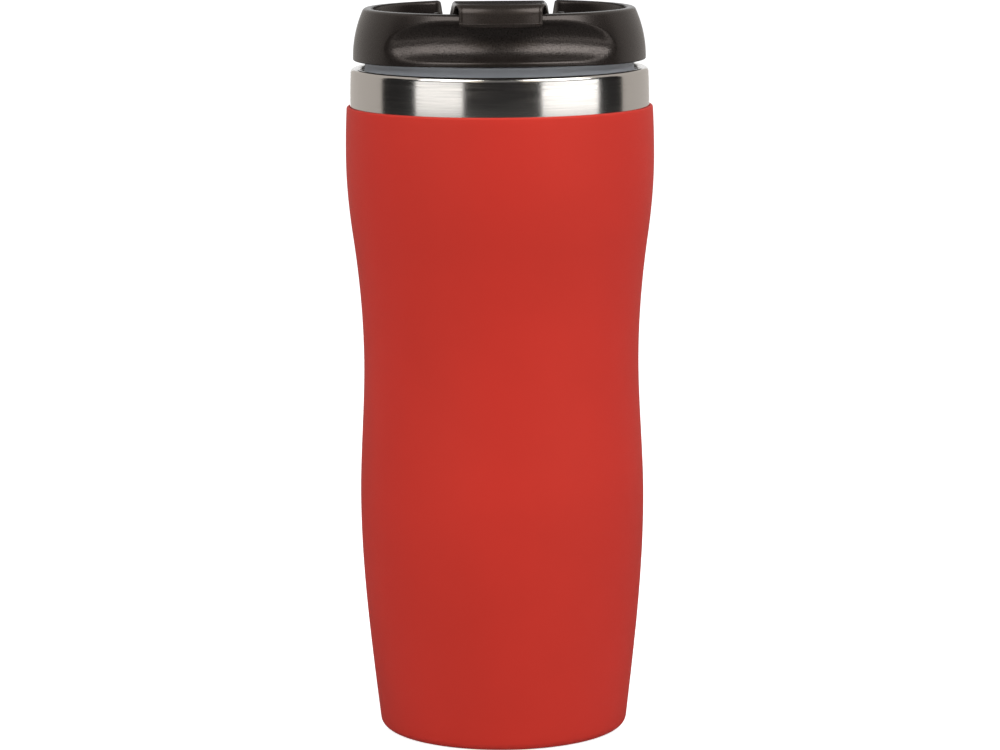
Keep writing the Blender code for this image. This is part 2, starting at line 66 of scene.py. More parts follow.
# Places that the frame gives
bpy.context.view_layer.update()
SHELL_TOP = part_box("outer_shell")[1].z
RIM_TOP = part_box("steel_liner")[1].z
CUP_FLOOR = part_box("steel_liner")[0].z
BASE_LOW, BASE_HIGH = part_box("base_plate")
CAP_LOW, CAP_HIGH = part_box("lid_cap")
PLUG_LOW, PLUG_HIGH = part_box("lid_plug")
SEAL_LOW, SEAL_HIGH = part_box("seal_ring")
PIN_LOW, PIN_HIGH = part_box("hinge_pin")
LEVER_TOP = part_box("flip_lever")[1].z
STOPPER_LOW, STOPPER_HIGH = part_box("lever_stopper")
HINGE_Z = 0.5 * (PIN_LOW.z + PIN_HIGH.z)
DRINK_Y = 0.5 * (STOPPER_LOW.y + STOPPER_HIGH.y)
FIT_GAP = 0.3 * MM
LID_FOOT = PLUG_HIGH.z + FIT_GAP


def linear(code):
    """Linear colour of an sRGB hex value."""
    channels = [int(code[i:i + 2], 16) / 255.0 for i in (1, 3, 5)]
    return [c / 12.92 if c <= 0.04045 else ((c + 0.055) / 1.055) ** 2.4 for c in channels]


def length(name, description, millimetres):
    """A size in the settings, written in millimetres and kept in metres."""
    return FloatProperty(name=name, description=description, default=millimetres * MM,
                         unit="LENGTH", precision=5)


def turn_of(name, description, degrees):
    """An angle in the settings, written in degrees."""
    return FloatProperty(name=name, description=description, default=math.radians(degrees), subtype="ANGLE")


def share(name, description, value):
    """A plain number in the settings."""
    return FloatProperty(name=name, description=description, default=value, subtype="FACTOR", soft_max=1.0)


def lamp_power(name, description, watts):
    """A lamp's power in the settings."""
    return FloatProperty(name=name, description=description, default=watts, unit="POWER")


def tint(name, description, code):
    """A colour in the settings, written as an sRGB hex value."""
    return FloatVectorProperty(name=name, description=description, default=linear(code),
                               subtype="COLOR", size=3)


class CupSettings(bpy.types.PropertyGroup):
    """Sizes of the cup"""
    foot_radius: length("Foot radius", "Radius of the shell where it stands", 34.25)
    foot_slope: share("Foot slope", "How fast the shell widens just over the foot", 0.115)
    belly_height: length("Belly height", "Height of the lower bulge", 65.0)
    belly_radius: length("Belly radius", "Radius of the lower bulge", 39.43)
    waist_height: length("Waist height", "Height of the grip's waist", 103.0)
    waist_radius: length("Waist radius", "Radius of the grip's waist", 38.11)
    rise_height: length("Rise height", "Height where the shell widens fastest", 138.0)
    rise_radius: length("Rise radius", "Radius where the shell widens fastest", 40.73)
    rise_slope: share("Rise slope", "How fast the shell widens there", 0.142)
    shoulder_height: length("Shoulder height", "Height of the widest ring", 160.0)
    shoulder_radius: length("Shoulder radius", "Radius of the widest ring", 42.45)
    lip_radius: length("Lip radius", "Radius of the shell's top edge", 42.08)
    lip_slope: share("Lip slope", "How fast the shell draws in at its top edge", -0.06)
    foot_fillet: length("Foot fillet", "Rounding of the foot's edge", 2.2)
    foot_inner: length("Foot opening", "Radius of the opening under the foot", 30.0)
    lip_fillet: length("Lip fillet", "Rounding of the coated top edge", 0.6)
    sheet: length("Shell sheet", "Thickness of the coated shell", 0.9)
    steel: length("Liner sheet", "Thickness of the liner's steel", 0.6)
    floor_radius: length("Cup floor radius", "Radius of the inside at its floor", 26.0)
    neck_height: length("Neck height", "Height where the liner opens out for the lid", 152.0)
    neck_radius: length("Neck radius", "Radius of the inside under the lid", 34.2)
    mouth_height: length("Mouth height", "Height where the mouth becomes straight", 164.0)
    mouth_radius: length("Mouth radius", "Radius of the straight mouth", 38.05)
    band_top: length("Band top radius", "Radius of the bare band under the rim", 40.9)
    band_foot: length("Band foot radius", "Radius of the bare band at the shell's lip", 41.15)
    band_bulge: length("Band bulge", "How far the bare band swells between its ends", 0.16)
    rim_fillet: length("Rim fillet", "Rounding of the rolled rim", 1.3)


class LidSettings(bpy.types.PropertyGroup):
    """Sizes of the lid"""
    side_arc: length("Side arc", "Radius of the arc that the lid's side follows", 32.0)
    edge_fillet: length("Edge fillet", "Rounding of the rim's inner top edge", 1.1)
    brow_fillet: length("Brow fillet", "Rounding of the rim's outer top edge", 0.75)
    foot_fillet: length("Skirt fillet", "Rounding of the skirt's lower edge", 0.4)
    skirt_dip: length("Skirt dip", "How much lower the skirt's edge lies at the sides than in front", 0.55)
    skirt_lip: length("Skirt lip", "Inner radius of the skirt's edge, clear of the seal", 37.6)
    well_radius: length("Well radius", "Radius of the well at the deck", 34.2)
    well_draft: length("Well draft", "How much the well widens to its top", 0.5)
    well_fillet: length("Well fillet", "Rounding where the well meets the deck", 1.0)
    deck_height: length("Deck height", "Height of the deck inside the well", 188.8)
    deck_sheet: length("Deck sheet", "Thickness of the deck", 1.8)
    scoop_tube: length("Scoop radius", "Radius of the thumb scoop's round section", 6.0)
    scoop_path: length("Scoop path", "Distance of the scoop's centre line from the axis", 41.9)
    scoop_height: length("Scoop height", "Height of the scoop's centre line", 194.3)
    scoop_lift: length("Scoop lift", "How far the scoop runs out at its ends", 4.1)
    scoop_sink: length("Scoop sink", "How far the scoop's ends drop", 1.8)
    scoop_level: turn_of("Scoop level", "Angle to which the scoop stays level", 19.0)
    scoop_end: turn_of("Scoop end", "Angle at which the scoop has run out", 50.0)
    scoop_edge: length("Scoop edge", "Rounding of the scoop's edge", 0.65)
    notch_half: length("Notch half width", "Half the width of the rim's rear notch", 15.35)
    notch_draft: turn_of("Notch draft", "How much the notch widens towards the well", 14.0)
    notch_floor: length("Notch floor", "Height of the notch's floor", 190.0)
    notch_corner: length("Notch corner", "Rounding in the notch's lower corners", 1.5)
    notch_edge: length("Notch edge", "Rounding of the notch's edges", 0.9)
    drink_radius: length("Drink hole radius", "Radius of the drink hole", 6.0)
    vent_radius: length("Vent radius", "Radius of the air vent", 1.2)
    ear_radius: length("Ear radius", "Radius of the hinge ears' heads", 2.2)
    ear_inner: length("Ear place", "Distance of the hinge ears from the middle", 15.8)
    ear_sheet: length("Ear thickness", "Thickness of a hinge ear", 2.0)


class LeverSettings(bpy.types.PropertyGroup):
    """Sizes of the flip lever"""
    sheet: length("Lever sheet", "Thickness of the lever's shell", 1.2)
    edge: length("Lever edge", "Rounding of the shell's free edges", 0.5)
    corner: length("Lever corner", "Rounding between the top and the cheeks", 0.9)
    rear_top: length("Rear top", "Height of the lever's top over the hinge", 202.5)
    front_half: length("Front half width", "Half the width of the flap", 10.75)
    rear_half: length("Rear half width", "Half the width over the hinge", 12.8)
    flare: length("Flare", "Run behind the flap in which the lever widens", 7.0)
    flap_radius: length("Flap radius", "Distance of the flap's face from the axis", 39.7)
    flap_curve: length("Flap curve", "Radius to which the flap is curved in plan", 28.0)
    flap_drop: length("Flap drop", "Height of the flap from its lower edge to the top", 6.3)
    flap_bend: length("Flap bend", "Radius of the bend between top and flap", 2.8)
    flap_corner: length("Flap corner", "Rounding of the flap's lower corners", 0.7)
    lip_height: length("Lip height", "Height of the finger lip under the flap's face", 0.8)
    lip_reach: length("Lip reach", "How far the finger lip stands out", 0.3)
    flap_bead: length("Flap bead", "How far the flap's side edges stand out", 0.14)
    cheek_draft: turn_of("Cheek draft", "How much the cheeks lean out", 10.0)
    cheek_reach: length("Cheek reach", "How far the cheeks run in front of the hinge", 31.0)
    cheek_front: length("Cheek front", "Height of the cheeks' lower edge at their front", 199.8)
    cheek_rear: length("Cheek rear", "Depth of the cheeks' lower edge under the hinge", 4.0)
    boss_radius: length("Boss radius", "Radius of the boss that carries the stopper", 4.6)


class FinishSettings(bpy.types.PropertyGroup):
    """Colours of the finishes"""
    coat: tint("Coat", "Soft-touch coat of the shell", "#B72A22")
    steel: tint("Steel", "Bare stainless steel", "#C8C5C1")
    plastic: tint("Plastic", "Moulded lid", "#1B1715")
    # The lever's colour is the lid's plastic made lighter: painted light, standing in for more light on the
    # flap's face
    lever: tint("Lever plastic", "Moulded lever, a little greyer", "#27221F")
    silicone: tint("Silicone", "Seal and stopper", "#B8BCC3")


class StageSettings(bpy.types.PropertyGroup):
    """Light of the studio"""
    left_power: lamp_power("Left power", "Power of the left softbox", 11.0)
    right_power: lamp_power("Right power", "Power of the right softbox", 13.9)
    fill: share("Fill", "Strength of the even light from all round", 0.29)
    floor_glow: share("Floor glow", "Share of the floor's white that shadows leave", 0.74)


class MugSettings(bpy.types.PropertyGroup):
    """All settings of the mug"""
    segments: IntProperty(name="Segments", description="Facets round a turned piece", default=192, min=24)
    cup: PointerProperty(type=CupSettings)
    lid: PointerProperty(type=LidSettings)
    lever: PointerProperty(type=LeverSettings)
    finish: PointerProperty(type=FinishSettings)
    stage: PointerProperty(type=StageSettings)


# Nodes

MATH = "ShaderNodeMath"
ADD = {"operation": "ADD"}
SUBTRACT = {"operation": "SUBTRACT"}
MULTIPLY = {"operation": "MULTIPLY"}
MULTIPLY_ADD = {"operation": "MULTIPLY_ADD"}
MAXIMUM = {"operation": "MAXIMUM"}
# Noise is read over the middle of its range, where nearly all of its values lie
NOISE_SPREAD = {"From Min": 0.3, "From Max": 0.7}
# Point attribute that the cap carries, 1 in the thumb scoop
SCOOP_MARK = "scoop"
WHITE = (1.0, 1.0, 1.0, 1.0)


def add(tree, kind, settings=None, inputs=None):
    """Adds a node: settings are its options, inputs are values, sockets or nodes by name or number."""
    node = tree.nodes.new(kind)
    for option, value in (settings or {}).items():
        setattr(node, option, value)
    for key, value in (inputs or {}).items():
        if isinstance(value, bpy.types.Node):
            value = value.outputs[0]
        if isinstance(value, bpy.types.NodeSocket):
            tree.links.new(value, node.inputs[key])
        else:
            node.inputs[key].default_value = value
    return node


def new_material(name):
    """An empty material, and its node tree to fill."""
    made = bpy.data.materials.new(name)
    made.use_nodes = True
    made.node_tree.nodes.clear()
    return made, made.node_tree


def soft_touch_lacquer(finish):
    """Sprayed soft-touch lacquer: dead even colour, a wide dull gloss and a spray grain like fine suede."""
    made, tree = new_material("soft-touch lacquer, sprayed")
    place = add(tree, "ShaderNodeTexCoord").outputs["Object"]
    # Spray passes leave clouds about 35 mm wide
    cloud = add(tree, "ShaderNodeTexNoise", None,
                {"Vector": place, "Scale": 1.0 / (35.0 * MM), "Detail": 2.0})
    value = add(tree, "ShaderNodeMapRange", None,
                {"Value": cloud, **NOISE_SPREAD, "To Min": 0.97, "To Max": 1.03})
    colour = add(tree, "ShaderNodeHueSaturation", None, {"Value": value, "Color": (*finish.coat, 1.0)})
    # The real grain is about 0.05 mm; 0.3 mm is as fine as shows
    grain = add(tree, "ShaderNodeTexNoise", None,
                {"Vector": place, "Scale": 1.0 / (0.3 * MM), "Detail": 2.0})
    rough = add(tree, "ShaderNodeMapRange", None,
                {"Value": grain, **NOISE_SPREAD, "To Min": 0.52, "To Max": 0.62})
    bump = add(tree, "ShaderNodeBump", None, {"Height": grain, "Strength": 0.1, "Distance": 0.02 * MM})
    shader = add(tree, "ShaderNodeBsdfPrincipled", None,
                 {"Base Color": colour, "Roughness": rough, "IOR": 1.5, "Specular IOR Level": 0.2,
                  "Specular Tint": (1.0, 0.85, 0.6, 1.0), "Normal": bump})
    add(tree, "ShaderNodeOutputMaterial", None, {"Surface": shader})
    return made


def brushed_stainless(finish):
    """Steel brushed round its axis: reflections with crisp upright edges, drawn out along the height."""
    made, tree = new_material("stainless steel, brushed")
    place = add(tree, "ShaderNodeTexCoord").outputs["Object"]
    # Brush lines are about 0.03 mm apart and 20 mm long; 0.15 mm is as fine as shows
    lines = add(tree, "ShaderNodeMapping", None,
                {"Vector": place, "Scale": (1.0 / (20.0 * MM), 1.0 / (20.0 * MM), 1.0 / (0.15 * MM))})
    streak = add(tree, "ShaderNodeTexNoise", None, {"Vector": lines, "Scale": 1.0, "Detail": 3.0})
    rough = add(tree, "ShaderNodeMapRange", None,
                {"Value": streak, **NOISE_SPREAD, "To Min": 0.12, "To Max": 0.22})
    bump = add(tree, "ShaderNodeBump", None, {"Height": streak, "Strength": 0.05, "Distance": 0.01 * MM})
    shader = add(tree, "ShaderNodeBsdfPrincipled", None,
                 {"Base Color": (*finish.steel, 1.0), "Metallic": 1.0, "Roughness": rough, "Normal": bump,
                  "Anisotropic": 0.5, "Anisotropic Rotation": 0.25})
    add(tree, "ShaderNodeOutputMaterial", None, {"Surface": shader})
    return made


def moulded_polypropylene(colour):
    """Black polypropylene from an etched mould: a satin skin with a fine grain, coarser in the scoop."""
    made, tree = new_material("polypropylene, moulded with an etched grain")
    place = add(tree, "ShaderNodeTexCoord").outputs["Object"]
    # Etched pits are about 0.1 mm; 0.25 mm on the skin and 0.4 mm in the scoop are as fine as shows
    fine = add(tree, "ShaderNodeTexNoise", None,
               {"Vector": place, "Scale": 1.0 / (0.25 * MM), "Detail": 1.0})
    coarse = add(tree, "ShaderNodeTexNoise", None,
                 {"Vector": place, "Scale": 1.0 / (0.4 * MM), "Detail": 1.0})
    scoop = add(tree, "ShaderNodeAttribute", {"attribute_name": SCOOP_MARK}).outputs["Fac"]
    grain = add(tree, "ShaderNodeMix", None, {0: scoop, 2: fine, 3: coarse})
    depth = add(tree, "ShaderNodeMapRange", None, {"Value": scoop, "To Min": 0.01, "To Max": 0.3})
    bump = add(tree, "ShaderNodeBump", None, {"Height": grain, "Strength": depth, "Distance": 0.2 * MM})
    skin = add(tree, "ShaderNodeMapRange", None,
               {"Value": grain, **NOISE_SPREAD, "To Min": 0.26, "To Max": 0.3})
    rough = add(tree, MATH, MULTIPLY_ADD, {0: scoop, 1: 0.01, 2: skin})
    # The grain's pits look dull and its tops bright
    sparkle = add(tree, "ShaderNodeMapRange", None,
                  {"Value": coarse, **NOISE_SPREAD, "To Min": -0.05, "To Max": 0.27})
    gloss = add(tree, MATH, MULTIPLY_ADD, {0: scoop, 1: sparkle, 2: 0.36})
    shader = add(tree, "ShaderNodeBsdfPrincipled", None,
                 {"Base Color": (*colour, 1.0), "Roughness": rough, "IOR": 1.49, "Specular IOR Level": gloss,
                  "Specular Tint": (1.0, 0.88, 0.82, 1.0), "Normal": bump})
    add(tree, "ShaderNodeOutputMaterial", None, {"Surface": shader})
    return made


def pressed_silicone(finish):
    """Grey silicone pressed in a polished mould: soft, slightly waxy and dusty, with a dull gloss."""
    made, tree = new_material("silicone rubber, pressed")
    place = add(tree, "ShaderNodeTexCoord").outputs["Object"]
    # Dust and bloom lie in patches about 4 mm wide
    dust = add(tree, "ShaderNodeTexNoise", None,
               {"Vector": place, "Scale": 1.0 / (4.0 * MM), "Detail": 3.0})
    rough = add(tree, "ShaderNodeMapRange", None, {"Value": dust, "To Min": 0.4, "To Max": 0.6})
    value = add(tree, "ShaderNodeMapRange", None, {"Value": dust, "To Min": 0.95, "To Max": 1.05})
    colour = add(tree, "ShaderNodeHueSaturation", None, {"Value": value, "Color": (*finish.silicone, 1.0)})
    shader = add(tree, "ShaderNodeBsdfPrincipled", None,
                 {"Base Color": colour, "Roughness": rough, "IOR": 1.41})
    add(tree, "ShaderNodeOutputMaterial", None, {"Surface": shader})
    return made


FINISHES = {
    "red_coat": soft_touch_lacquer,
    "brushed_steel": brushed_stainless,
    "black_plastic": lambda finish: moulded_polypropylene(finish.plastic),
    # The lever gets a lighter copy of the lid's plastic: painted light on the flap's face
    "lever_plastic_painted_light": lambda finish: moulded_polypropylene(finish.lever),
    "grey_silicone": pressed_silicone,
}
MADE_FINISHES = {}


def finish_of(name, settings):
    """The material of a finish, made once."""
    if name not in MADE_FINISHES:
        MADE_FINISHES[name] = FINISHES[name](settings.finish)
    return MADE_FINISHES[name]


# Turned pieces

WAVE_STATIONS = ("Foot", "Belly", "Waist", "Rise", "Shoulder", "Lip")
STATION_WORDS = ("height", "radius", "slope")
GUIDE_R = 1.0 * MM
SHELL_OUTER_ROWS = 110
SHELL_INNER_ROWS = 50
PIN_PLAY = 0.1 * MM
# Cutters stand out past what they cut
CUT_OVER = 1.0 * MM


def wave_radius(tree, height, given):
    """Nodes for the wave: cubic runs from station to station, each clamped so that they add up."""
    total = given.outputs["Foot radius"]
    for low, high in zip(WAVE_STATIONS, WAVE_STATIONS[1:]):
        low_z, low_r, low_slope = (given.outputs[f"{low} {word}"] for word in STATION_WORDS)
        high_z, high_r, high_slope = (given.outputs[f"{high} {word}"] for word in STATION_WORDS)
        ends = {"Value": height, "From Min": low_z, "From Max": high_z}
        up = add(tree, "ShaderNodeMapRange", None, ends)
        down = add(tree, "ShaderNodeMapRange", None, {**ends, "To Min": 1.0, "To Max": 0.0})
        rise = add(tree, MATH, SUBTRACT, {0: high_r, 1: low_r})
        run = add(tree, MATH, SUBTRACT, {0: high_z, 1: low_z})
        climb = add(tree, "ShaderNodeMapRange", {"interpolation_type": "SMOOTHSTEP"},
                    {**ends, "To Min": 0.0, "To Max": rise})
        arch = add(tree, MATH, MULTIPLY, {0: up, 1: down})
        start = add(tree, MATH, MULTIPLY, {0: down, 1: low_slope})
        end = add(tree, MATH, MULTIPLY, {0: up, 1: high_slope})
        lean = add(tree, MATH, SUBTRACT, {0: start, 1: end})
        swell = add(tree, MATH, MULTIPLY, {0: arch, 1: run})
        curved = add(tree, MATH, MULTIPLY_ADD, {0: swell, 1: lean, 2: climb})
        total = add(tree, MATH, ADD, {0: total, 1: curved}).outputs[0]
    return total


def turned_tree(waved):
    """Geometry nodes that carry a profile round the Z axis, after adding the wave to its radius if asked."""
    name = "Waved turned wall" if waved else "Turned piece"
    tree = bpy.data.node_groups.get(name)
    if tree:
        return tree
    tree = bpy.data.node_groups.new(name, "GeometryNodeTree")
    sockets = [("Profile", "NodeSocketGeometry"), ("Segments", "NodeSocketInt"),
               ("Finish", "NodeSocketMaterial")]
    if waved:
        sockets += [(f"{station} {word}", "NodeSocketFloat")
                    for station in WAVE_STATIONS for word in STATION_WORDS]
    for label, kind in sockets:
        tree.interface.new_socket(label, in_out="INPUT", socket_type=kind)
    tree.interface.new_socket("Piece", in_out="OUTPUT", socket_type="NodeSocketGeometry")
    given = add(tree, "NodeGroupInput")
    place = add(tree, "ShaderNodeSeparateXYZ", None, {0: add(tree, "GeometryNodeInputPosition")})
    radius = place.outputs["X"]
    if waved:
        wave = wave_radius(tree, place.outputs["Z"], given)
        radius = add(tree, MATH, ADD, {0: radius, 1: wave}).outputs[0]
    # In the sweep's own plane X is the distance from the guide ring, and Y points down
    outward = add(tree, MATH, SUBTRACT, {0: radius, 1: GUIDE_R})
    down = add(tree, MATH, MULTIPLY, {0: place.outputs["Z"], 1: -1.0})
    flat = add(tree, "ShaderNodeCombineXYZ", None, {"X": outward, "Y": down})
    moved = add(tree, "GeometryNodeSetPosition", None,
                {"Geometry": given.outputs["Profile"], "Position": flat})
    line = add(tree, "GeometryNodeMeshToCurve", None, {"Mesh": moved})
    ring = add(tree, "GeometryNodeCurvePrimitiveCircle", None,
               {"Resolution": given.outputs["Segments"], "Radius": GUIDE_R})
    wall = add(tree, "GeometryNodeCurveToMesh", None, {"Curve": ring, "Profile Curve": line})
    joined = add(tree, "GeometryNodeMergeByDistance", None, {"Geometry": wall, "Distance": MERGE})
    real = add(tree, "GeometryNodeRealizeInstances", None, {"Geometry": joined})
    coated = add(tree, "GeometryNodeSetMaterial", None,
                 {"Geometry": real, "Material": given.outputs["Finish"]})
    add(tree, "NodeGroupOutput", None, {"Piece": coated})
    return tree


def arc(centre, radius, start, end, steps):
    """Points of an arc in the profile plane, between two angles in degrees."""
    angles = np.radians(np.linspace(start, end, steps + 1))
    return [(centre[0] + radius * math.cos(a), centre[1] + radius * math.sin(a)) for a in angles]


def rounded(corners, steps=5):
    """Line through corners of (radius, height, fillet), with an arc at each corner that has a fillet."""
    points = []
    for i, (x, y, fillet) in enumerate(corners):
        if i in (0, len(corners) - 1) or fillet == 0.0:
            points.append((x, y))
            continue
        corner = Vector((x, y))
        before = (Vector(corners[i - 1][:2]) - corner).normalized()
        after = (Vector(corners[i + 1][:2]) - corner).normalized()
        half = 0.5 * before.angle(after)
        centre = corner + (before + after).normalized() * fillet / math.sin(half)
        first = corner + before * fillet / math.tan(half) - centre
        last = corner + after * fillet / math.tan(half) - centre
        for step in range(steps + 1):
            spoke = first.lerp(last, step / steps).normalized() * fillet
            points.append((centre.x + spoke.x, centre.y + spoke.y))
    return points


def unit(vectors):
    """Vectors at length 1."""
    return vectors / np.linalg.norm(vectors, axis=-1, keepdims=True)


def thick(points, sheet):
    """Closes a line of sheet metal with its other face, one sheet to the right of it."""
    line = np.array(points)
    along = unit(np.diff(line, axis=0))
    right = np.stack([along[:, 1], -along[:, 0]], axis=1)
    first = np.vstack([right[:1], right])
    last = np.vstack([right, right[-1:]])
    mitre = (first + last) / (1.0 + (first * last).sum(axis=1))[:, None]
    back = line + sheet * mitre
    return points + [tuple(point) for point in back[::-1]]


def put_in_scene(name, data):
    """An object for a mesh, curve, lamp or camera, at the origin."""
    made = bpy.data.objects.new(name, data)
    bpy.context.scene.collection.objects.link(made)
    return made


def new_piece(name, vertices=(), edges=(), faces=()):
    """A mesh object at the origin, from plain lists."""
    mesh = bpy.data.meshes.new(name)
    mesh.from_pydata(vertices, edges, faces)
    return put_in_scene(name, mesh)


@contextmanager
def reshaped(mesh):
    """Opens a mesh for editing, and writes it back."""
    shape = bmesh.new()
    shape.from_mesh(mesh)
    yield shape
    shape.to_mesh(mesh)
    shape.free()


def plain_mesh(source):
    """A plain mesh of an object, as its modifiers or its curve's settings shape it."""
    bpy.context.view_layer.update()
    return bpy.data.meshes.new_from_object(source.evaluated_get(bpy.context.evaluated_depsgraph_get()))


def settle(piece):
    """Turns a piece and its modifiers into one plain closed mesh, smooth, with its faces pointing out."""
    mesh = plain_mesh(piece)
    with reshaped(mesh) as shape:
        bmesh.ops.recalc_face_normals(shape, faces=shape.faces)
    mesh.shade_smooth()
    mesh.set_sharp_from_angle(angle=SMOOTH_ANGLE)
    piece.modifiers.clear()
    piece.data = mesh
    return piece


def turned(name, outline, finish, settings, closed=True, wave=None):
    """A turned piece: an outline of (radius, height) carried round the Z axis by geometry nodes."""
    count = len(outline)
    edges = [(i, i + 1) for i in range(count - 1)]
    if closed:
        edges.append((count - 1, 0))
    piece = new_piece(name, [(r, 0.0, z) for r, z in outline], edges)
    step = piece.modifiers.new("Turn", "NODES")
    step.node_group = turned_tree(wave is not None)
    given = {"Segments": settings.segments, "Finish": finish, **(wave or {})}
    for socket in step.node_group.interface.items_tree:
        if socket.name in given:
            step[socket.identifier] = given[socket.name]
    return settle(piece)


def combine(piece, other, operation):
    """Joins another closed mesh to a piece, or cuts it away, and removes it."""
    step = piece.modifiers.new("Combine", "BOOLEAN")
    step.operation = operation
    step.solver = "MANIFOLD"
    step.object = other
    settle(piece)
    bpy.data.objects.remove(other, do_unlink=True)


def bar(radius, ends, place, steps=48, along_x=False):
    """A plain round bar to join or cut with: upright at place, or along X."""
    piece = new_piece("bar")
    middle = Matrix.Translation((0.0, 0.0, 0.5 * (ends[0] + ends[1])))
    turn = Matrix.Rotation(math.pi / 2.0, 4, "Y") if along_x else Matrix.Identity(4)
    with reshaped(piece.data) as shape:
        bmesh.ops.create_cone(shape, cap_ends=True, segments=steps, radius1=radius, radius2=radius,
                              depth=ends[1] - ends[0], matrix=Matrix.Translation(place) @ turn @ middle)
    return piece


def bore_for_pin(piece, reach):
    """Bores the hinge pin's hole through a piece, with a little play."""
    radius = PIN_HIGH.z - HINGE_Z + PIN_PLAY
    combine(piece, bar(radius, (-reach, reach), (0.0, 0.0, HINGE_Z), along_x=True), "DIFFERENCE")


def give_finish(piece, finish):
    """Gives a piece its one material."""
    piece.data.materials.clear()
    piece.data.materials.append(finish)


def hand_over(piece, body, node):
    """Puts a finished piece in its CAD node's place on a body."""
    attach(piece, body)
    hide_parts(node)


class MugOperator:
    """What the mug's operators share"""
    bl_options = {"REGISTER", "UNDO"}


class MUG_OT_coated_shell(MugOperator, bpy.types.Operator):
    """Turns the waved outer shell and coats it"""
    bl_idname = "mug.coated_shell"
    bl_label = "Coated shell"

    def execute(self, context):
        settings = context.scene.mug
        cup = settings.cup
        fillet, lip, sheet = cup.foot_fillet, cup.lip_fillet, cup.sheet
        lip_gap = 0.1 * MM
        # The outline is given as distance from the wave, so the wall itself is a straight line
        foot_in = cup.foot_inner - cup.foot_radius
        lip_in = cup.band_foot + lip_gap - cup.lip_radius
        outline = arc((-fillet, fillet), fillet, -90.0, 0.0, steps=8)[:-1]
        outline += [(0.0, z) for z in np.linspace(fillet, SHELL_TOP - lip, SHELL_OUTER_ROWS)]
        outline += arc((-lip, SHELL_TOP - lip), lip, 0.0, 90.0, steps=6)[1:]
        outline += [(lip_in, SHELL_TOP - lip_gap), (lip_in, SHELL_TOP - sheet)]
        outline += [(-sheet, z) for z in np.linspace(SHELL_TOP - 2.0 * sheet, 2.0 * sheet, SHELL_INNER_ROWS)]
        outline += [(-2.0 * sheet, sheet), (foot_in, sheet), (foot_in, 0.0)]
        stations = {
            "Foot": (0.0, cup.foot_radius, cup.foot_slope),
            "Belly": (cup.belly_height, cup.belly_radius, 0.0),
            "Waist": (cup.waist_height, cup.waist_radius, 0.0),
            "Rise": (cup.rise_height, cup.rise_radius, cup.rise_slope),
            "Shoulder": (cup.shoulder_height, cup.shoulder_radius, 0.0),
            "Lip": (SHELL_TOP, cup.lip_radius, cup.lip_slope),
        }
        wave = {f"{station} {word}": value for station, values in stations.items()
                for word, value in zip(STATION_WORDS, values)}
        shell = turned("coated_shell", outline, finish_of("red_coat", settings), settings, wave=wave)
        hand_over(shell, "cup", "outer_shell")
        return {"FINISHED"}


class MUG_OT_brushed_liner(MugOperator, bpy.types.Operator):
    """Turns the steel liner with its rolled rim and bare band"""
    bl_idname = "mug.brushed_liner"
    bl_label = "Brushed liner"

    def execute(self, context):
        settings = context.scene.mug
        cup = settings.cup
        finish = finish_of("brushed_steel", settings)
        floor = CUP_FLOOR + cup.steel
        floor_fillet, neck_fillet, mouth_fillet = 6.5 * MM, 10.0 * MM, 8.0 * MM
        # The band swells in the middle, rounded over a short run on each side
        swell_r = 0.5 * (cup.band_top + cup.band_foot) + cup.band_bulge
        swell_z = 0.5 * (RIM_TOP + SHELL_TOP)
        swell_run = 4.0 * MM
        swell_fillet = swell_run * (swell_z - SHELL_TOP) / cup.band_bulge
        # It ends tucked in behind the shell's lip
        band_end, band_fillet = SHELL_TOP - 0.8 * MM, 0.7 * MM
        tuck_r, tuck_z, tuck_fillet = cup.band_foot - 0.35 * MM, SHELL_TOP - 1.5 * MM, 0.2 * MM
        tuck_length = 2.0 * MM
        line = rounded([
            (0.0, floor, 0.0), (cup.floor_radius, floor, floor_fillet),
            (cup.neck_radius, cup.neck_height, neck_fillet),
            (cup.mouth_radius, cup.mouth_height, mouth_fillet),
            (cup.mouth_radius, RIM_TOP, cup.rim_fillet), (cup.band_top, RIM_TOP, cup.rim_fillet),
            (swell_r, swell_z, swell_fillet),
            (cup.band_foot, band_end, band_fillet), (tuck_r, tuck_z, tuck_fillet),
            (tuck_r, tuck_z - tuck_length, 0.0),
        ], steps=8)
        liner = turned("brushed_liner", thick(line, cup.steel), finish, settings, closed=False)
        hand_over(liner, "cup", "steel_liner")
        return {"FINISHED"}


class MUG_OT_pressed_base(MugOperator, bpy.types.Operator):
    """Turns the pressed base plate"""
    bl_idname = "mug.pressed_base"
    bl_label = "Pressed base"

    def execute(self, context):
        settings = context.scene.mug
        finish = finish_of("brushed_steel", settings)
        sheet, fillet = 0.8 * MM, 1.2 * MM
        step_out, step_in = 28.0 * MM, 26.2 * MM
        low, high = BASE_LOW.z, BASE_HIGH.z - sheet
        line = rounded([(BASE_HIGH.x, low, 0.0), (step_out, low, fillet), (step_in, high, fillet),
                        (0.0, high, 0.0)])
        outline = thick(line, sheet)
        # It starts and ends on the axis, so that the turned plate is closed
        from_axis = outline[len(line):] + outline[:len(line)]
        base = turned("pressed_base", from_axis, finish, settings, closed=False)
        hand_over(base, "cup", "base_plate")
        return {"FINISHED"}


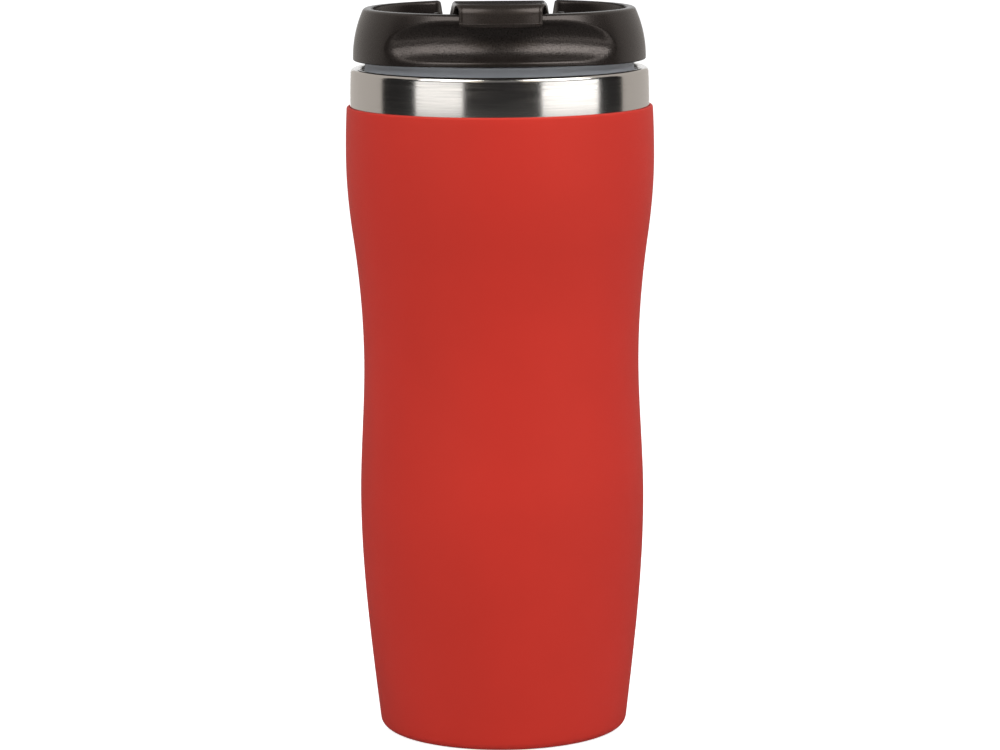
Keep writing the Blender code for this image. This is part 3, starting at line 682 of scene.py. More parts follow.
class MUG_OT_silicone_seal(MugOperator, bpy.types.Operator):
    """Turns the seal ring with its two fins"""
    bl_idname = "mug.silicone_seal"
    bl_label = "Silicone seal"

    def execute(self, context):
        settings = context.scene.mug
        wall, fillet = 36.95 * MM, 0.3 * MM
        inner = PLUG_HIGH.x - 1.1 * MM
        fin_heights = (183.2 * MM, 181.0 * MM)
        fin_half, fin_root, fin_tip = 0.7 * MM, 0.15 * MM, 0.12 * MM
        corners = [(inner, SEAL_HIGH.z, 0.0), (wall, SEAL_HIGH.z, fillet)]
        for fin in fin_heights:
            corners += [(wall, fin + fin_half, fin_root), (SEAL_HIGH.x, fin, fin_tip),
                        (wall, fin - fin_half, fin_root)]
        corners += [(wall, SEAL_LOW.z, fillet), (inner, SEAL_LOW.z, 0.0)]
        seal = turned("silicone_seal", rounded(corners), finish_of("grey_silicone", settings), settings)
        hand_over(seal, "lid", "seal_ring")
        return {"FINISHED"}


class MUG_OT_moulded_plug(MugOperator, bpy.types.Operator):
    """Turns the plug under the lid, and joins its drink and vent tubes"""
    bl_idname = "mug.moulded_plug"
    bl_label = "Moulded plug"

    def execute(self, context):
        settings = context.scene.mug
        lid = settings.lid
        finish = finish_of("black_plastic", settings)
        low, top = PLUG_LOW.z, PLUG_HIGH.z
        floor = low + 1.6 * MM
        outer, inner, foot = 35.0 * MM, 33.5 * MM, 34.7 * MM
        # The seal rests on a bead, which tapers off below
        bead, bead_top = PLUG_HIGH.x, SEAL_LOW.z - FIT_GAP
        bead_low, taper_low = bead_top - 1.4 * MM, bead_top - 2.7 * MM
        top_fillet, bead_fillet = 0.2 * MM, 0.5 * MM
        corners = [(0.0, floor, 0.0), (inner, floor, 1.0 * MM),
                   (inner, top, top_fillet), (outer, top, top_fillet),
                   (outer, bead_top, 0.1 * MM), (bead, bead_top, bead_fillet),
                   (bead, bead_low, bead_fillet), (outer, taper_low, bead_fillet),
                   (foot, low, 1.2 * MM), (0.0, low, 0.0)]
        plug = turned("moulded_plug", rounded(corners), finish, settings, closed=False)
        tube_wall = 1.4 * MM
        tube_low, tube_top = low + 0.8 * MM, lid.deck_height - lid.deck_sheet - FIT_GAP
        for y, bore in ((DRINK_Y, lid.drink_radius), (-DRINK_Y, lid.vent_radius)):
            combine(plug, bar(bore + tube_wall, (tube_low, tube_top), (0.0, y, 0.0)), "UNION")
            combine(plug, bar(bore, (low - CUT_OVER, tube_top + CUT_OVER), (0.0, y, 0.0)), "DIFFERENCE")
        hand_over(plug, "lid", "lid_plug")
        return {"FINISHED"}


class MUG_OT_hinge_pin(MugOperator, bpy.types.Operator):
    """Turns the hinge pin and lays it along X"""
    bl_idname = "mug.hinge_pin"
    bl_label = "Hinge pin"

    def execute(self, context):
        settings = context.scene.mug
        finish = finish_of("brushed_steel", settings)
        half, radius, fillet = PIN_HIGH.x, 0.5 * (PIN_HIGH.z - PIN_LOW.z), 0.25 * MM
        corners = [(0.0, half, 0.0), (radius, half, fillet), (radius, -half, fillet), (0.0, -half, 0.0)]
        pin = turned("turned_pin", rounded(corners), finish, settings, closed=False)
        pin.data.transform(Matrix.Translation((0.0, 0.0, HINGE_Z)) @ Matrix.Rotation(math.pi / 2.0, 4, "Y"))
        hand_over(pin, "lid", "hinge_pin")
        return {"FINISHED"}


class MUG_OT_silicone_stopper(MugOperator, bpy.types.Operator):
    """Turns the stopper that the lever presses into the drink hole"""
    bl_idname = "mug.silicone_stopper"
    bl_label = "Silicone stopper"

    def execute(self, context):
        settings = context.scene.mug
        finish = finish_of("grey_silicone", settings)
        # A socket for the lever's boss, on a flange, over a tapered nose
        flange, flange_low = STOPPER_HIGH.x, settings.lid.deck_height + FIT_GAP
        flange_top = flange_low + 1.3 * MM
        socket, socket_floor = settings.lever.boss_radius + FIT_GAP, flange_low + 2.1 * MM
        socket_top, socket_wall = STOPPER_HIGH.z, 1.4 * MM
        nose, tip, tip_low = 5.6 * MM, 4.2 * MM, STOPPER_LOW.z
        outside, fillet = socket + socket_wall, 0.4 * MM
        corners = [(0.0, socket_floor, 0.0), (socket, socket_floor, 0.3 * MM),
                   (socket, socket_top, 0.3 * MM), (outside, socket_top, fillet),
                   (outside, flange_top, fillet), (flange, flange_top, fillet),
                   (flange, flange_low, fillet), (nose, flange_low, 0.2 * MM),
                   (tip, tip_low, 0.6 * MM), (0.0, tip_low, 0.0)]
        stopper = turned("silicone_stopper", rounded(corners), finish, settings, closed=False)
        stopper.data.transform(Matrix.Translation((0.0, DRINK_Y, 0.0)))
        hand_over(stopper, "lever", "lever_stopper")
        return {"FINISHED"}


# Lid cap

# Rows of the cap's outline; the scoop leaves the first rows of the brow alone
EDGE_STEPS = 8
WELL_ROWS = 12
SIDE_ROWS = 60
HEM_ROWS = 16
HEM_STEPS = 5
BROW_ROWS_KEPT = 2
COLLAR_GAP = 1.0 * MM
COLLAR_SHEET = 1.2 * MM
# Columns round its right half
FRONT_COLUMNS = 170
FRONT_PAST = math.radians(2.0)
SIDE_COLUMNS = 70
SIDE_TURN_START = 0.75
NOTCH_MARGIN = 1.5 * MM
# The scoop's centre line bows out at its ends by this power of the way
SCOOP_BOW = 2.3
# The notch has its set width this far inside the rim's outline and under its top, and widens a little upwards
LEAN_INSIDE = 1.5 * MM
LEAN_UNDER = 2.5 * MM
LEAN_RISE = 0.12
# Columns at the notch: millimetres before its end, shares of the fall down it, millimetres along its floor
OVER_GAPS = (1.3, 1.1, 0.9, 0.75, 0.6, 0.45, 0.3, 0.15)
END_FALLS = (0.0, 0.015, 0.03, 0.05, 0.07, 0.09, 0.12, 0.2, 0.35, 0.5, 0.65,
             0.78, 0.84, 0.88, 0.92, 0.96, 1.0)
FLOOR_GAPS = (0.2, 0.4, 0.6, 0.8, 1.0, 1.25, 1.5, 1.8, 2.5)
FLOOR_PLAIN_GAP = 3.5 * MM
FLOOR_COLUMNS = 9
# Rows before and after the notch's floor that its rounding reaches
NEAR_BEFORE = 6
NEAR_AFTER = 14
# The skirt's edge starts to dip at an angle from the front, and the dip fades out upwards
DIP_START = math.radians(8.0)
DIP_TURN = math.radians(52.0)
DIP_HEIGHT = 3.0 * MM
DIP_MARGIN = 0.1 * MM
EAR_FOOT_HALF = 4.5 * MM
EAR_EDGE = 0.3 * MM
# Where the scoop's coarser grain is: off the well and the top edge, and full at this depth
MARK_OFF_WELL = 0.05 * MM
MARK_UNDER_TOP = 1.2 * MM
MARK_DEPTH = 0.4 * MM


def eased(t):
    """Smooth step from 0 to 1."""
    t = np.clip(t, 0.0, 1.0)
    return t * t * (3.0 - 2.0 * t)


def round_max(a, b, radius):
    """The larger of two distances, with a round edge of that radius where they cross."""
    corner = np.hypot(np.maximum(a + radius, 0.0), np.maximum(b + radius, 0.0))
    return np.minimum(-radius, np.maximum(a, b)) + corner


def settle_on(field, points, rounds=8):
    """Moves points onto the surface where a distance field is zero."""
    step = 1e-6
    # Gentler slopes count as this steep, so that no point jumps far
    flattest = 0.25
    for _ in range(rounds):
        slope = [(field(points + d) - field(points - d)) / (2.0 * step)
                 for d in np.eye(points.shape[-1]) * step]
        slope = np.stack(slope, axis=-1)
        steep = np.maximum((slope ** 2).sum(axis=-1), flattest)
        points = points - slope * (field(points) / steep)[..., None]
    return points


def evened(grid):
    """The points inside a grid's border, each moved to the middle of its four neighbours."""
    return 0.25 * (grid[2:, 1:-1] + grid[:-2, 1:-1] + grid[1:-1, 2:] + grid[1:-1, :-2])


def relax(field, grid, rounds=12):
    """Spaces a grid of points evenly on the surface of a distance field; its border stays."""
    for _ in range(rounds):
        grid[1:-1, 1:-1] = settle_on(field, evened(grid))


class LidForm:
    """The cap's solid as a distance field: a turned rim, the thumb scoop and the rear notch."""

    def __init__(self, lid):
        self.lid = lid
        self.arc_r = CAP_HIGH.x - lid.side_arc

    def side(self, r, z):
        """Distance from the arc of the skirt's side."""
        return np.hypot(r - self.arc_r, z - LID_FOOT) - self.lid.side_arc

    def side_radius(self, z):
        """Radius of the skirt's side at a height."""
        return self.arc_r + math.sqrt(self.lid.side_arc ** 2 - (z - LID_FOOT) ** 2)

    def well_radius(self, z):
        """Radius of the well's wall at a height, with its fillet at the deck."""
        lid = self.lid
        low = lid.deck_height + lid.well_fillet
        below = np.clip((low - z) / lid.well_fillet, 0.0, 1.0)
        draft = lid.well_draft * np.clip((z - low) / (CAP_HIGH.z - low), 0.0, 1.0)
        return lid.well_radius + draft - lid.well_fillet * (1.0 - np.sqrt(1.0 - below ** 2))

    def rim(self, r, z):
        """Distance from the turned rim, with its edges rounded."""
        lid = self.lid
        top = round_max(self.well_radius(z) - r, z - CAP_HIGH.z, lid.edge_fillet)
        skirt = round_max(self.side(r, z), LID_FOOT - z, lid.foot_fillet)
        return round_max(top, skirt, lid.brow_fillet)

    def scoop_line(self, angle):
        """Radius and height of the scoop's centre line at an angle from the front."""
        lid = self.lid
        past = np.maximum(0.0, np.abs(angle) - lid.scoop_level) / (lid.scoop_end - lid.scoop_level)
        bow = past ** SCOOP_BOW
        return lid.scoop_path + lid.scoop_lift * bow, lid.scoop_height - lid.scoop_sink * bow

    def scooped(self, r, z, angle):
        """Distance from the rim with the thumb scoop cut in."""
        line_r, line_z = self.scoop_line(angle)
        tube = self.lid.scoop_tube - np.hypot(r - line_r, z - line_z)
        return round_max(self.rim(r, z), tube, self.lid.scoop_edge)

    def notch_lean(self, y, z):
        """How far the notch's end faces stand off their width at the rim's outside, near its top."""
        outside = math.sqrt((CAP_HIGH.x - LEAN_INSIDE) ** 2 - self.lid.notch_half ** 2)
        near_top = CAP_HIGH.z - LEAN_UNDER
        return math.tan(self.lid.notch_draft) * (outside - y + LEAN_RISE * (z - near_top))

    def notched(self, points):
        """Distance from the rim with the rear notch cut in."""
        lid = self.lid
        x, y, z = np.moveaxis(points, -1, 0)
        across = (np.abs(x) - lid.notch_half - self.notch_lean(y, z)) * math.cos(lid.notch_draft)
        notch = round_max(across, lid.notch_floor - z, lid.notch_corner)
        return round_max(self.rim(np.hypot(x, y), z), -notch, lid.notch_edge)


def lid_rows(lid):
    """Outline of the cap from the deck over the rim to the underside, as rows of (radius, height).

    Gives the rows, the first and the last one at the notch's floor, and those outside the rim.
    """
    form = LidForm(lid)
    low = lid.deck_height + lid.well_fillet
    edge_z = CAP_HIGH.z - lid.edge_fillet
    brow_z = CAP_HIGH.z - lid.brow_fillet
    hem_z = LID_FOOT + lid.foot_fillet
    well = arc((lid.well_radius - lid.well_fillet, low), lid.well_fillet, -90.0, 0.0, EDGE_STEPS)
    inner = [(float(form.well_radius(z)), z) for z in np.linspace(lid.notch_floor, edge_z, WELL_ROWS)]
    top = arc((inner[-1][0] + lid.edge_fillet, edge_z), lid.edge_fillet, 180.0, 90.0, EDGE_STEPS)[1:]
    brow = arc((form.side_radius(brow_z) - lid.brow_fillet, brow_z), lid.brow_fillet, 90.0, 0.0, EDGE_STEPS)
    over_floor = np.linspace(brow_z, lid.notch_floor, SIDE_ROWS)[1:]
    under_floor = np.linspace(lid.notch_floor, hem_z, HEM_ROWS)[1:]
    side = [(form.side_radius(z), z) for z in np.concatenate([over_floor, under_floor])]
    hem = arc((side[-1][0] - lid.foot_fillet, hem_z), lid.foot_fillet, 0.0, -90.0, HEM_STEPS)[1:]
    rows = np.array(well + inner + top + brow + side + hem)
    first = len(well)
    brow_start = first + len(inner) + len(top)
    last = brow_start + len(brow) + len(over_floor) - 1
    outer = slice(brow_start + BROW_ROWS_KEPT, len(rows))
    rows[first:] = settle_on(lambda p: form.rim(p[..., 0], p[..., 1]), rows[first:])
    collar_out = lid.well_radius - COLLAR_GAP
    collar_in = collar_out - COLLAR_SHEET
    under = [(lid.skirt_lip, LID_FOOT), (collar_out, LID_FOOT), (collar_out, CAP_LOW.z),
             (collar_in, CAP_LOW.z), (collar_in, lid.deck_height - lid.deck_sheet)]
    return np.vstack([rows, np.array(under)]), first, last, outer


def standing(r, angle, z):
    """Points at radii and heights, turned by an angle from the front."""
    return np.stack([r * np.sin(angle), -r * np.cos(angle), z], axis=1)


def front_columns(form, rows, outer, front_end):
    """Columns through the scoop, close enough together for its crisp edge."""
    angles = np.linspace(0.0, front_end, FRONT_COLUMNS)
    cut = np.repeat(rows[None], len(angles), axis=0)
    line_r, line_z = form.scoop_line(angles)
    drop = form.lid.scoop_tube ** 2 - (rows[None, :, 1] - line_z[:, None]) ** 2
    scoop = np.where(drop > 0.0, line_r[:, None] - np.sqrt(np.maximum(drop, 0.0)), np.inf)
    cut[:, outer, 0] = np.minimum(cut[:, outer, 0], scoop[:, outer])
    wide = angles[:, None]
    cut[:, outer] = settle_on(lambda p: form.scooped(p[..., 0], p[..., 1], wide), cut[:, outer])
    return [standing(column[:, 0], angle, column[:, 1]) for angle, column in zip(angles, cut)]


def side_columns(form, rows, front_end):
    """Plain columns from the scoop to the notch, which turn to lie along the notch's end."""
    lid = form.lid
    r, z = rows[:, 0], rows[:, 1]
    middle_r = 0.5 * (lid.well_radius + CAP_HIGH.x)
    side_end = math.pi - math.asin((lid.notch_half + NOTCH_MARGIN) / middle_r)
    columns = []
    for step in np.linspace(0.0, 1.0, SIDE_COLUMNS)[1:]:
        angle = front_end + (side_end - front_end) * step
        turn = np.clip((step - SIDE_TURN_START) / (1.0 - SIDE_TURN_START), 0.0, 1.0) ** 2
        if turn > 0.0:
            x = middle_r * math.sin(angle)
            lean = turn * form.notch_lean(np.sqrt(r ** 2 - x ** 2), z)
            angle = (1.0 - turn) * angle + turn * (math.pi - np.arcsin((x + lean) / r))
        columns.append(standing(r, angle, z))
    return columns


def notch_columns(form, rows, first, last, near):
    """Columns across the rim's end, then down its end face, then along the notch's floor to the middle."""
    lid = form.lid
    r, z = rows[:, 0], rows[:, 1]
    span = np.zeros(len(rows))
    reach = np.hypot(np.diff(r[first:last + 1]), np.diff(z[first:last + 1])).cumsum()
    span[first + 1:last + 1] = reach / reach[-1]
    flat_r = np.where(span > 0.0, r[first] + span * (r[last] - r[first]), r)
    flat_z = np.where(span > 0.0, lid.notch_floor, z)
    places = [(lid.notch_half + gap * MM, 0.0) for gap in OVER_GAPS]
    places += [(lid.notch_half, fall) for fall in END_FALLS]
    places += [(lid.notch_half - gap * MM, 1.0) for gap in FLOOR_GAPS]
    places += [(x, 1.0) for x in np.linspace(lid.notch_half - FLOOR_PLAIN_GAP, 0.0, FLOOR_COLUMNS)]
    columns = []
    for x, fall in places:
        column_r = (1.0 - fall) * r + fall * flat_r
        column_z = (1.0 - fall) * z + fall * flat_z
        y = np.sqrt(column_r ** 2 - x ** 2)
        lean = form.notch_lean(y, column_z) * min(1.0, x / lid.notch_half)
        column = np.stack([x + lean, np.sqrt(column_r ** 2 - (x + lean) ** 2), column_z], axis=1)
        column[near, 1] = y[near]
        column[near] = settle_on(form.notched, column[near])
        columns.append(column)
    return columns


def dip_skirt(lid, columns):
    """Lowers the skirt's edge at the sides and the rear, and leaves it as it is under the scoop's middle."""
    x, y, z = np.moveaxis(columns, -1, 0)
    dip = lid.skirt_dip * eased((np.arctan2(x, -y) - DIP_START) / DIP_TURN)
    outside = np.hypot(x, y) > lid.skirt_lip + DIP_MARGIN
    columns[..., 2] -= np.where(outside, dip * eased((LID_FOOT + DIP_HEIGHT - z) / DIP_HEIGHT), 0.0)


def lid_half_columns(lid):
    """Columns of the cap's right half, from the front round to the rear, each with a point for every row."""
    form = LidForm(lid)
    rows, first, last, outer = lid_rows(lid)
    near = slice(first - NEAR_BEFORE, last + NEAR_AFTER)
    front_end = lid.scoop_end + FRONT_PAST
    plain = front_columns(form, rows, outer, front_end) + side_columns(form, rows, front_end)
    columns = np.array(plain + notch_columns(form, rows, first, last, near))
    relax(form.notched, columns[len(plain) - 1:, near])
    columns[[0, -1], :, 0] = 0.0
    dip_skirt(lid, columns)
    return columns


def ear(lid, place_x):
    """A hinge ear: a round head on a foot that widens to the deck, with its edges rounded."""
    curve = bpy.data.curves.new("ear", "CURVE")
    curve.dimensions = "2D"
    curve.fill_mode = "BOTH"
    curve.extrude = 0.5 * lid.ear_sheet - EAR_EDGE
    curve.bevel_depth = EAR_EDGE
    curve.bevel_resolution = 2
    curve.offset = -EAR_EDGE
    foot = lid.deck_height - 0.5 * lid.deck_sheet
    head = arc((0.0, HINGE_Z), lid.ear_radius, -15.0, 195.0, steps=24)
    points = [(EAR_FOOT_HALF, foot)] + head + [(-EAR_FOOT_HALF, foot)]
    spline = curve.splines.new("POLY")
    spline.points.add(len(points) - 1)
    for point, (y, z) in zip(spline.points, points):
        point.co = (y, z, 0.0, 1.0)
    spline.use_cyclic_u = True
    source = put_in_scene("ear_line", curve)
    mesh = plain_mesh(source)
    bpy.data.objects.remove(source, do_unlink=True)
    # The curve lies in its own X and Y, which become Y and Z
    upright = Matrix(((0, 0, 1, place_x), (1, 0, 0, 0), (0, 1, 0, 0), (0, 0, 0, 1)))
    with reshaped(mesh) as shape:
        bmesh.ops.remove_doubles(shape, verts=shape.verts, dist=MERGE)
        bmesh.ops.transform(shape, verts=shape.verts, matrix=upright)
        bmesh.ops.recalc_face_normals(shape, faces=shape.faces)
    return put_in_scene("ear", mesh)


def mark_scoop(cap, form):
    """Marks how far each point lies inside the skirt's side, for the scoop's coarser grain."""
    places = np.empty(len(cap.data.vertices) * 3)
    cap.data.vertices.foreach_get("co", places)
    x, y, z = places.reshape(-1, 3).T
    r = np.hypot(x, y)
    off_well = r > form.well_radius(z) + MARK_OFF_WELL
    rim = (y < 0.0) & off_well & (z > LID_FOOT) & (z < CAP_HIGH.z - MARK_UNDER_TOP)
    depth = np.where(rim, -form.side(r, z) / MARK_DEPTH, 0.0)
    mark = cap.data.attributes.new(SCOOP_MARK, "FLOAT", "POINT")
    mark.data.foreach_set("value", np.clip(depth, 0.0, 1.0).astype(np.float32))


class MUG_OT_moulded_cap(MugOperator, bpy.types.Operator):
    """Shapes the lid cap with its scoop, rim notch, deck holes and hinge ears"""
    bl_idname = "mug.moulded_cap"
    bl_label = "Moulded cap"

    def execute(self, context):
        settings = context.scene.mug
        lid = settings.lid
        half = lid_half_columns(lid)
        columns = np.concatenate([half, half[-2:0:-1] * np.array([-1.0, 1.0, 1.0])])
        count, height = columns.shape[:2]
        faces = []
        for i in range(count):
            here, there = i * height, (i + 1) % count * height
            faces += [(here + j, there + j, there + j + 1, here + j + 1) for j in range(height - 1)]
        faces.append([i * height for i in range(count)])
        faces.append([i * height + height - 1 for i in range(count)])
        cap = settle(new_piece("moulded_cap", np.concatenate(columns).tolist(), [], faces))
        deck = (lid.deck_height - lid.deck_sheet - CUT_OVER, lid.deck_height + CUT_OVER)
        combine(cap, bar(lid.drink_radius, deck, (0.0, DRINK_Y, 0.0), steps=96), "DIFFERENCE")
        combine(cap, bar(lid.vent_radius, deck, (0.0, -DRINK_Y, 0.0)), "DIFFERENCE")
        for side in (-1.0, 1.0):
            combine(cap, ear(lid, side * (lid.ear_inner + 0.5 * lid.ear_sheet)), "UNION")
        bore_for_pin(cap, PIN_HIGH.x + 2.0 * CUT_OVER)
        mark_scoop(cap, LidForm(lid))
        give_finish(cap, finish_of("black_plastic", settings))
        hand_over(cap, "lid", "lid_cap")
        return {"FINISHED"}


# Flip lever

# Side view of the finger lip, as shares of its reach and height, with the flap's face just over it
LIP_SHELF = ((0.0, 0.0), (-0.35, 0.25), (-0.7, 0.5), (-1.0, 0.72), (-0.92, 0.8), (-0.65, 0.88), (-0.25, 0.96))
LIP_TOP = 1.05
FLAP_ROWS = 8
# Stations along the top in millimetres from the hinge, close together where the cheeks begin
CLOSE_STATIONS = np.linspace(-36.5, -30.0, 24)
FAR_STATIONS = np.linspace(-29.0, 0.0, 20)
# Degrees at which the round top behind the hinge ends
BARREL_END = -35.0
# Points across half the lever: flat, then round its corner, then down the cheek
FLAT_POINTS = 10
SHARES = np.linspace(0.0, 1.0, 9)[1:]
FLAT_ENOUGH = 1e-3
# The rounding of the flap's lower corners starts this far under its foot
FOOT_MARGIN = 0.1 * MM
# The corner curls over, then the cheek drops: how far ahead of the cheek's front each starts, and its run
CURL_AHEAD, CURL_RUN = 5.0 * MM, 4.0 * MM
NOSE_AHEAD, NOSE_RUN = 1.6 * MM, 1.8 * MM
SPARE_EDGE = 0.15 * MM
BEAD_POWER = 2.5
# Behind the hinge the cheek's lower edge swings up by this many degrees, and moves out a little
CHEEK_END_TURN = 45.0
CHEEK_END_WIDER = 0.6 * MM
# The lever is straight in plan behind this place, and takes on the flap's curve over this run in front of it
STRAIGHT_FROM = -20.0 * MM
CURVED_RUN = 17.0 * MM
BOSS_OVER_DECK = 2.7 * MM
BOSS_UNDER_TOP = 0.1 * MM
NORMAL_ROUNDS = 30
INSIDE_ROUNDS = 20


def lever_side(lever):
    """Side view of the lever's outer face, from the lip over the flap and the top to behind the hinge.

    Gives the points, the directions into the sheet, and where the flap ends and the barrel starts.
    """
    bend, front, foot = lever.flap_bend, -lever.flap_radius, lever.edge - lever.flap_drop
    flap = [(front + lever.lip_reach * out, foot + lever.lip_height * up) for out, up in LIP_SHELF]
    flap += [(front, h) for h in np.linspace(foot + LIP_TOP * lever.lip_height, -bend, FLAP_ROWS)]
    flap += arc((front + bend, -bend), bend, 180.0, 90.0, steps=14)[1:]
    plate = [(y * MM, 0.0) for y in np.concatenate([CLOSE_STATIONS, FAR_STATIONS])]
    tilt = math.atan2(LEVER_TOP - lever.rear_top, lever.flap_radius - bend)
    turn = np.array([[math.cos(tilt), -math.sin(tilt)], [math.sin(tilt), math.cos(tilt)]])
    tilted = np.array(flap + plate) @ turn + np.array([0.0, lever.rear_top])
    barrel = np.array(arc((0.0, HINGE_Z), lever.rear_top - HINGE_Z, 90.0, BARREL_END, steps=24)[1:])
    points = np.vstack([tilted, barrel])
    along = np.gradient(points, axis=0)
    inward = np.stack([along[:, 1], -along[:, 0]], axis=1)
    return points, unit(inward), len(flap), len(tilted)


def lever_half_width(lever, y):
    """Half the lever's width in plan: narrow at the flap, soon widening to its width at the hinge."""
    past = max(0.0, y + lever.flap_radius)
    return lever.rear_half + (lever.front_half - lever.rear_half) * math.exp(-past / lever.flare)


def barrel_low(lever, done):
    """Lower edge of the cheek, in side view, at a share of the way round the barrel."""
    angle = math.radians(-90.0 + CHEEK_END_TURN * done)
    radius = lever.cheek_rear + CHEEK_END_WIDER * done
    return np.array([radius * math.cos(angle), HINGE_Z + radius * math.sin(angle)])


def plate_low(lever, y, top):
    """Lower edge of the cheek, in side view, under a place on the plate: only a stub ahead of the cheeks."""
    fall_rate = (lever.cheek_front - HINGE_Z + lever.cheek_rear) / lever.cheek_reach
    nose = float(eased((y + lever.cheek_reach + NOSE_AHEAD) / NOSE_RUN))
    straight = lever.cheek_front - fall_rate * max(0.0, y + lever.cheek_reach)
    stub = top - SPARE_EDGE
    return np.array([y, stub + (min(straight, stub) - stub) * nose])


def lever_face(lever):
    """Points of the lever's outer face, station by station, from its left edge to its right."""
    points, inward, flap_end, barrel_start = lever_side(lever)
    draft = math.tan(lever.cheek_draft)
    quarter = math.pi / 2.0
    corner = lever.flap_corner
    face = []
    for i, (y, z) in enumerate(points):
        half = lever_half_width(lever, y)
        above = z - points[0, 1] + FOOT_MARGIN
        if i < flap_end and above < corner:
            half -= corner - math.sqrt(corner ** 2 - (corner - above) ** 2)
        if i >= barrel_start:
            half += draft * (lever.rear_top - z)
        # Across the top: flat, then round the corner, which fades out towards the flap
        curl = float(eased((y + lever.cheek_reach + CURL_AHEAD) / CURL_RUN))
        swing = max(curl, FLAT_ENOUGH) * (quarter - lever.cheek_draft)
        spare = SPARE_EDGE * (1.0 - curl)
        bend_r = lever.corner * (1.0 + curl * (quarter - 1.0)) / swing
        xs = list((half - lever.corner - spare) * np.linspace(0.0, 1.0, FLAT_POINTS))
        line = [points[i]] * len(xs)
        xs += [xs[-1] + bend_r * math.sin(t * swing) for t in SHARES]
        # A bead stands out along the flap's side edges, and fades out over the bend
        wave = np.sin(math.pi * SHARES ** BEAD_POWER) ** 2
        bead = lever.flap_bead * max(0.0, inward[i, 0]) * (1.0 - curl) * wave
        line += [points[i] + inward[i] * d for d in bend_r * (1.0 - np.cos(SHARES * swing)) - bead]
        # Down the cheek, to its lower edge
        start, last_x = line[-1], xs[-1]
        if i >= barrel_start:
            low = barrel_low(lever, (i - barrel_start + 1) / (len(points) - barrel_start))
        else:
            low = plate_low(lever, y, start[1])
        for t in SHARES:
            point = start + (low - start) * t * float(curl > FLAT_ENOUGH)
            line.append(point)
            xs.append(last_x + spare * t + draft * curl * abs(start[1] - point[1]))
        # The flap follows the lid's round front, and the plate straightens out behind it
        sag = np.clip((STRAIGHT_FROM - y) / CURVED_RUN, 0.0, 1.0)
        bows = [sag * (lever.flap_curve - math.sqrt(lever.flap_curve ** 2 - x ** 2)) for x in xs]
        right = [(x, point[0] + bow, point[1]) for x, point, bow in zip(xs, line, bows)]
        face.append([(-x, py, pz) for x, py, pz in right[:0:-1]] + right)
    return np.array(face)


def lever_shell(lever):
    """Vertices and faces of the lever: its outer face, its inside, and the rounded edge that joins them."""
    outer = lever_face(lever)
    across, along = np.gradient(outer, axis=1), np.gradient(outer, axis=0)
    normal = np.cross(across, along)
    # Evened out, because the inside would fold under the outside's small edges
    for _ in range(NORMAL_ROUNDS):
        normal = evened(np.pad(unit(normal), ((1, 1), (1, 1), (0, 0)), mode="edge"))
    normal = unit(normal)
    inner = outer - lever.sheet * normal
    for _ in range(INSIDE_ROUNDS):
        inner[1:-1, 1:-1] = evened(inner)
    count, width = outer.shape[:2]
    shift = count * width
    vertices = np.concatenate([outer.reshape(-1, 3), inner.reshape(-1, 3)]).tolist()
    faces = []
    for a in (i * width + j for i in range(count - 1) for j in range(width - 1)):
        faces.append((a, a + 1, a + width + 1, a + width))
    faces += [tuple(shift + v for v in reversed(face)) for face in faces]
    # The free edge: a quarter round from each face, as (reach, depth) from the outer face
    edge, sheet = lever.edge, lever.sheet
    turns = np.radians([30.0, 60.0, 90.0])
    steps = [(edge * math.sin(a), edge * (1.0 - math.cos(a))) for a in turns]
    steps += [(edge * math.cos(a), sheet - edge * (1.0 - math.sin(a))) for a in (0.0, *turns[:2])]
    border = [(0, j) for j in range(width)] + [(i, width - 1) for i in range(1, count)]
    border += [(count - 1, j) for j in range(width - 2, -1, -1)] + [(i, 0) for i in range(count - 2, 0, -1)]
    rings = []
    for i, j in border:
        out = np.zeros(3)
        out += unit(across[i, j]) * ((j == width - 1) - (j == 0))
        out += unit(along[i, j]) * ((i == count - 1) - (i == 0))
        out -= normal[i, j] * out.dot(normal[i, j])
        out = unit(out)
        ring = [i * width + j]
        for reach, depth in steps:
            ring.append(len(vertices))
            vertices.append((outer[i, j] + out * reach - normal[i, j] * depth).tolist())
        rings.append(ring + [shift + i * width + j])
    for here, there in zip(rings, rings[1:] + rings[:1]):
        faces += [(here[k], there[k], there[k + 1], here[k + 1]) for k in range(len(here) - 1)]
    return vertices, faces


class MUG_OT_moulded_lever(MugOperator, bpy.types.Operator):
    """Shapes the flip lever as one bent shell with rounded free edges, and joins the stopper's boss"""
    bl_idname = "mug.moulded_lever"
    bl_label = "Moulded lever"

    def execute(self, context):
        settings = context.scene.mug
        lever = settings.lever
        vertices, faces = lever_shell(lever)
        piece = settle(new_piece("moulded_lever", vertices, [], faces))
        # The boss reaches from the stopper's socket into the lever's sheet
        boss_ends = (settings.lid.deck_height + BOSS_OVER_DECK, lever.rear_top - BOSS_UNDER_TOP)
        combine(piece, bar(lever.boss_radius, boss_ends, (0.0, DRINK_Y, 0.0), steps=64), "UNION")
        bore_for_pin(piece, lever.rear_half + 4.0 * CUT_OVER)
        # Its finish is the lighter copy of the lid's plastic: painted light on the flap
        give_finish(piece, finish_of("lever_plastic_painted_light", settings))
        hand_over(piece, "lever", "flip_lever")
        return {"FINISHED"}


# Stage: lengths are metres, and azimuths are degrees from the front, to the right

FLOOR_R = 8.0
# The floor's own glow rises between two distances from the mug
GLOW_FROM, GLOW_TO = 0.2, 1.5
FAR_GLOW = 0.94
PAPER_GREY = (0.7, 0.7, 0.7, 1.0)
SOFTBOX_DISTANCE = 1.2
SOFTBOX_ELEVATION = 41.5
# Name, setting of its power, azimuth, width and height
SOFTBOXES = (
    ("softbox_left", "left_power", -50.0, (0.82, 0.85)),
    ("softbox_right", "right_power", 54.5, (0.87, 0.82)),
)
NEUTRAL = "#FFFEFD"
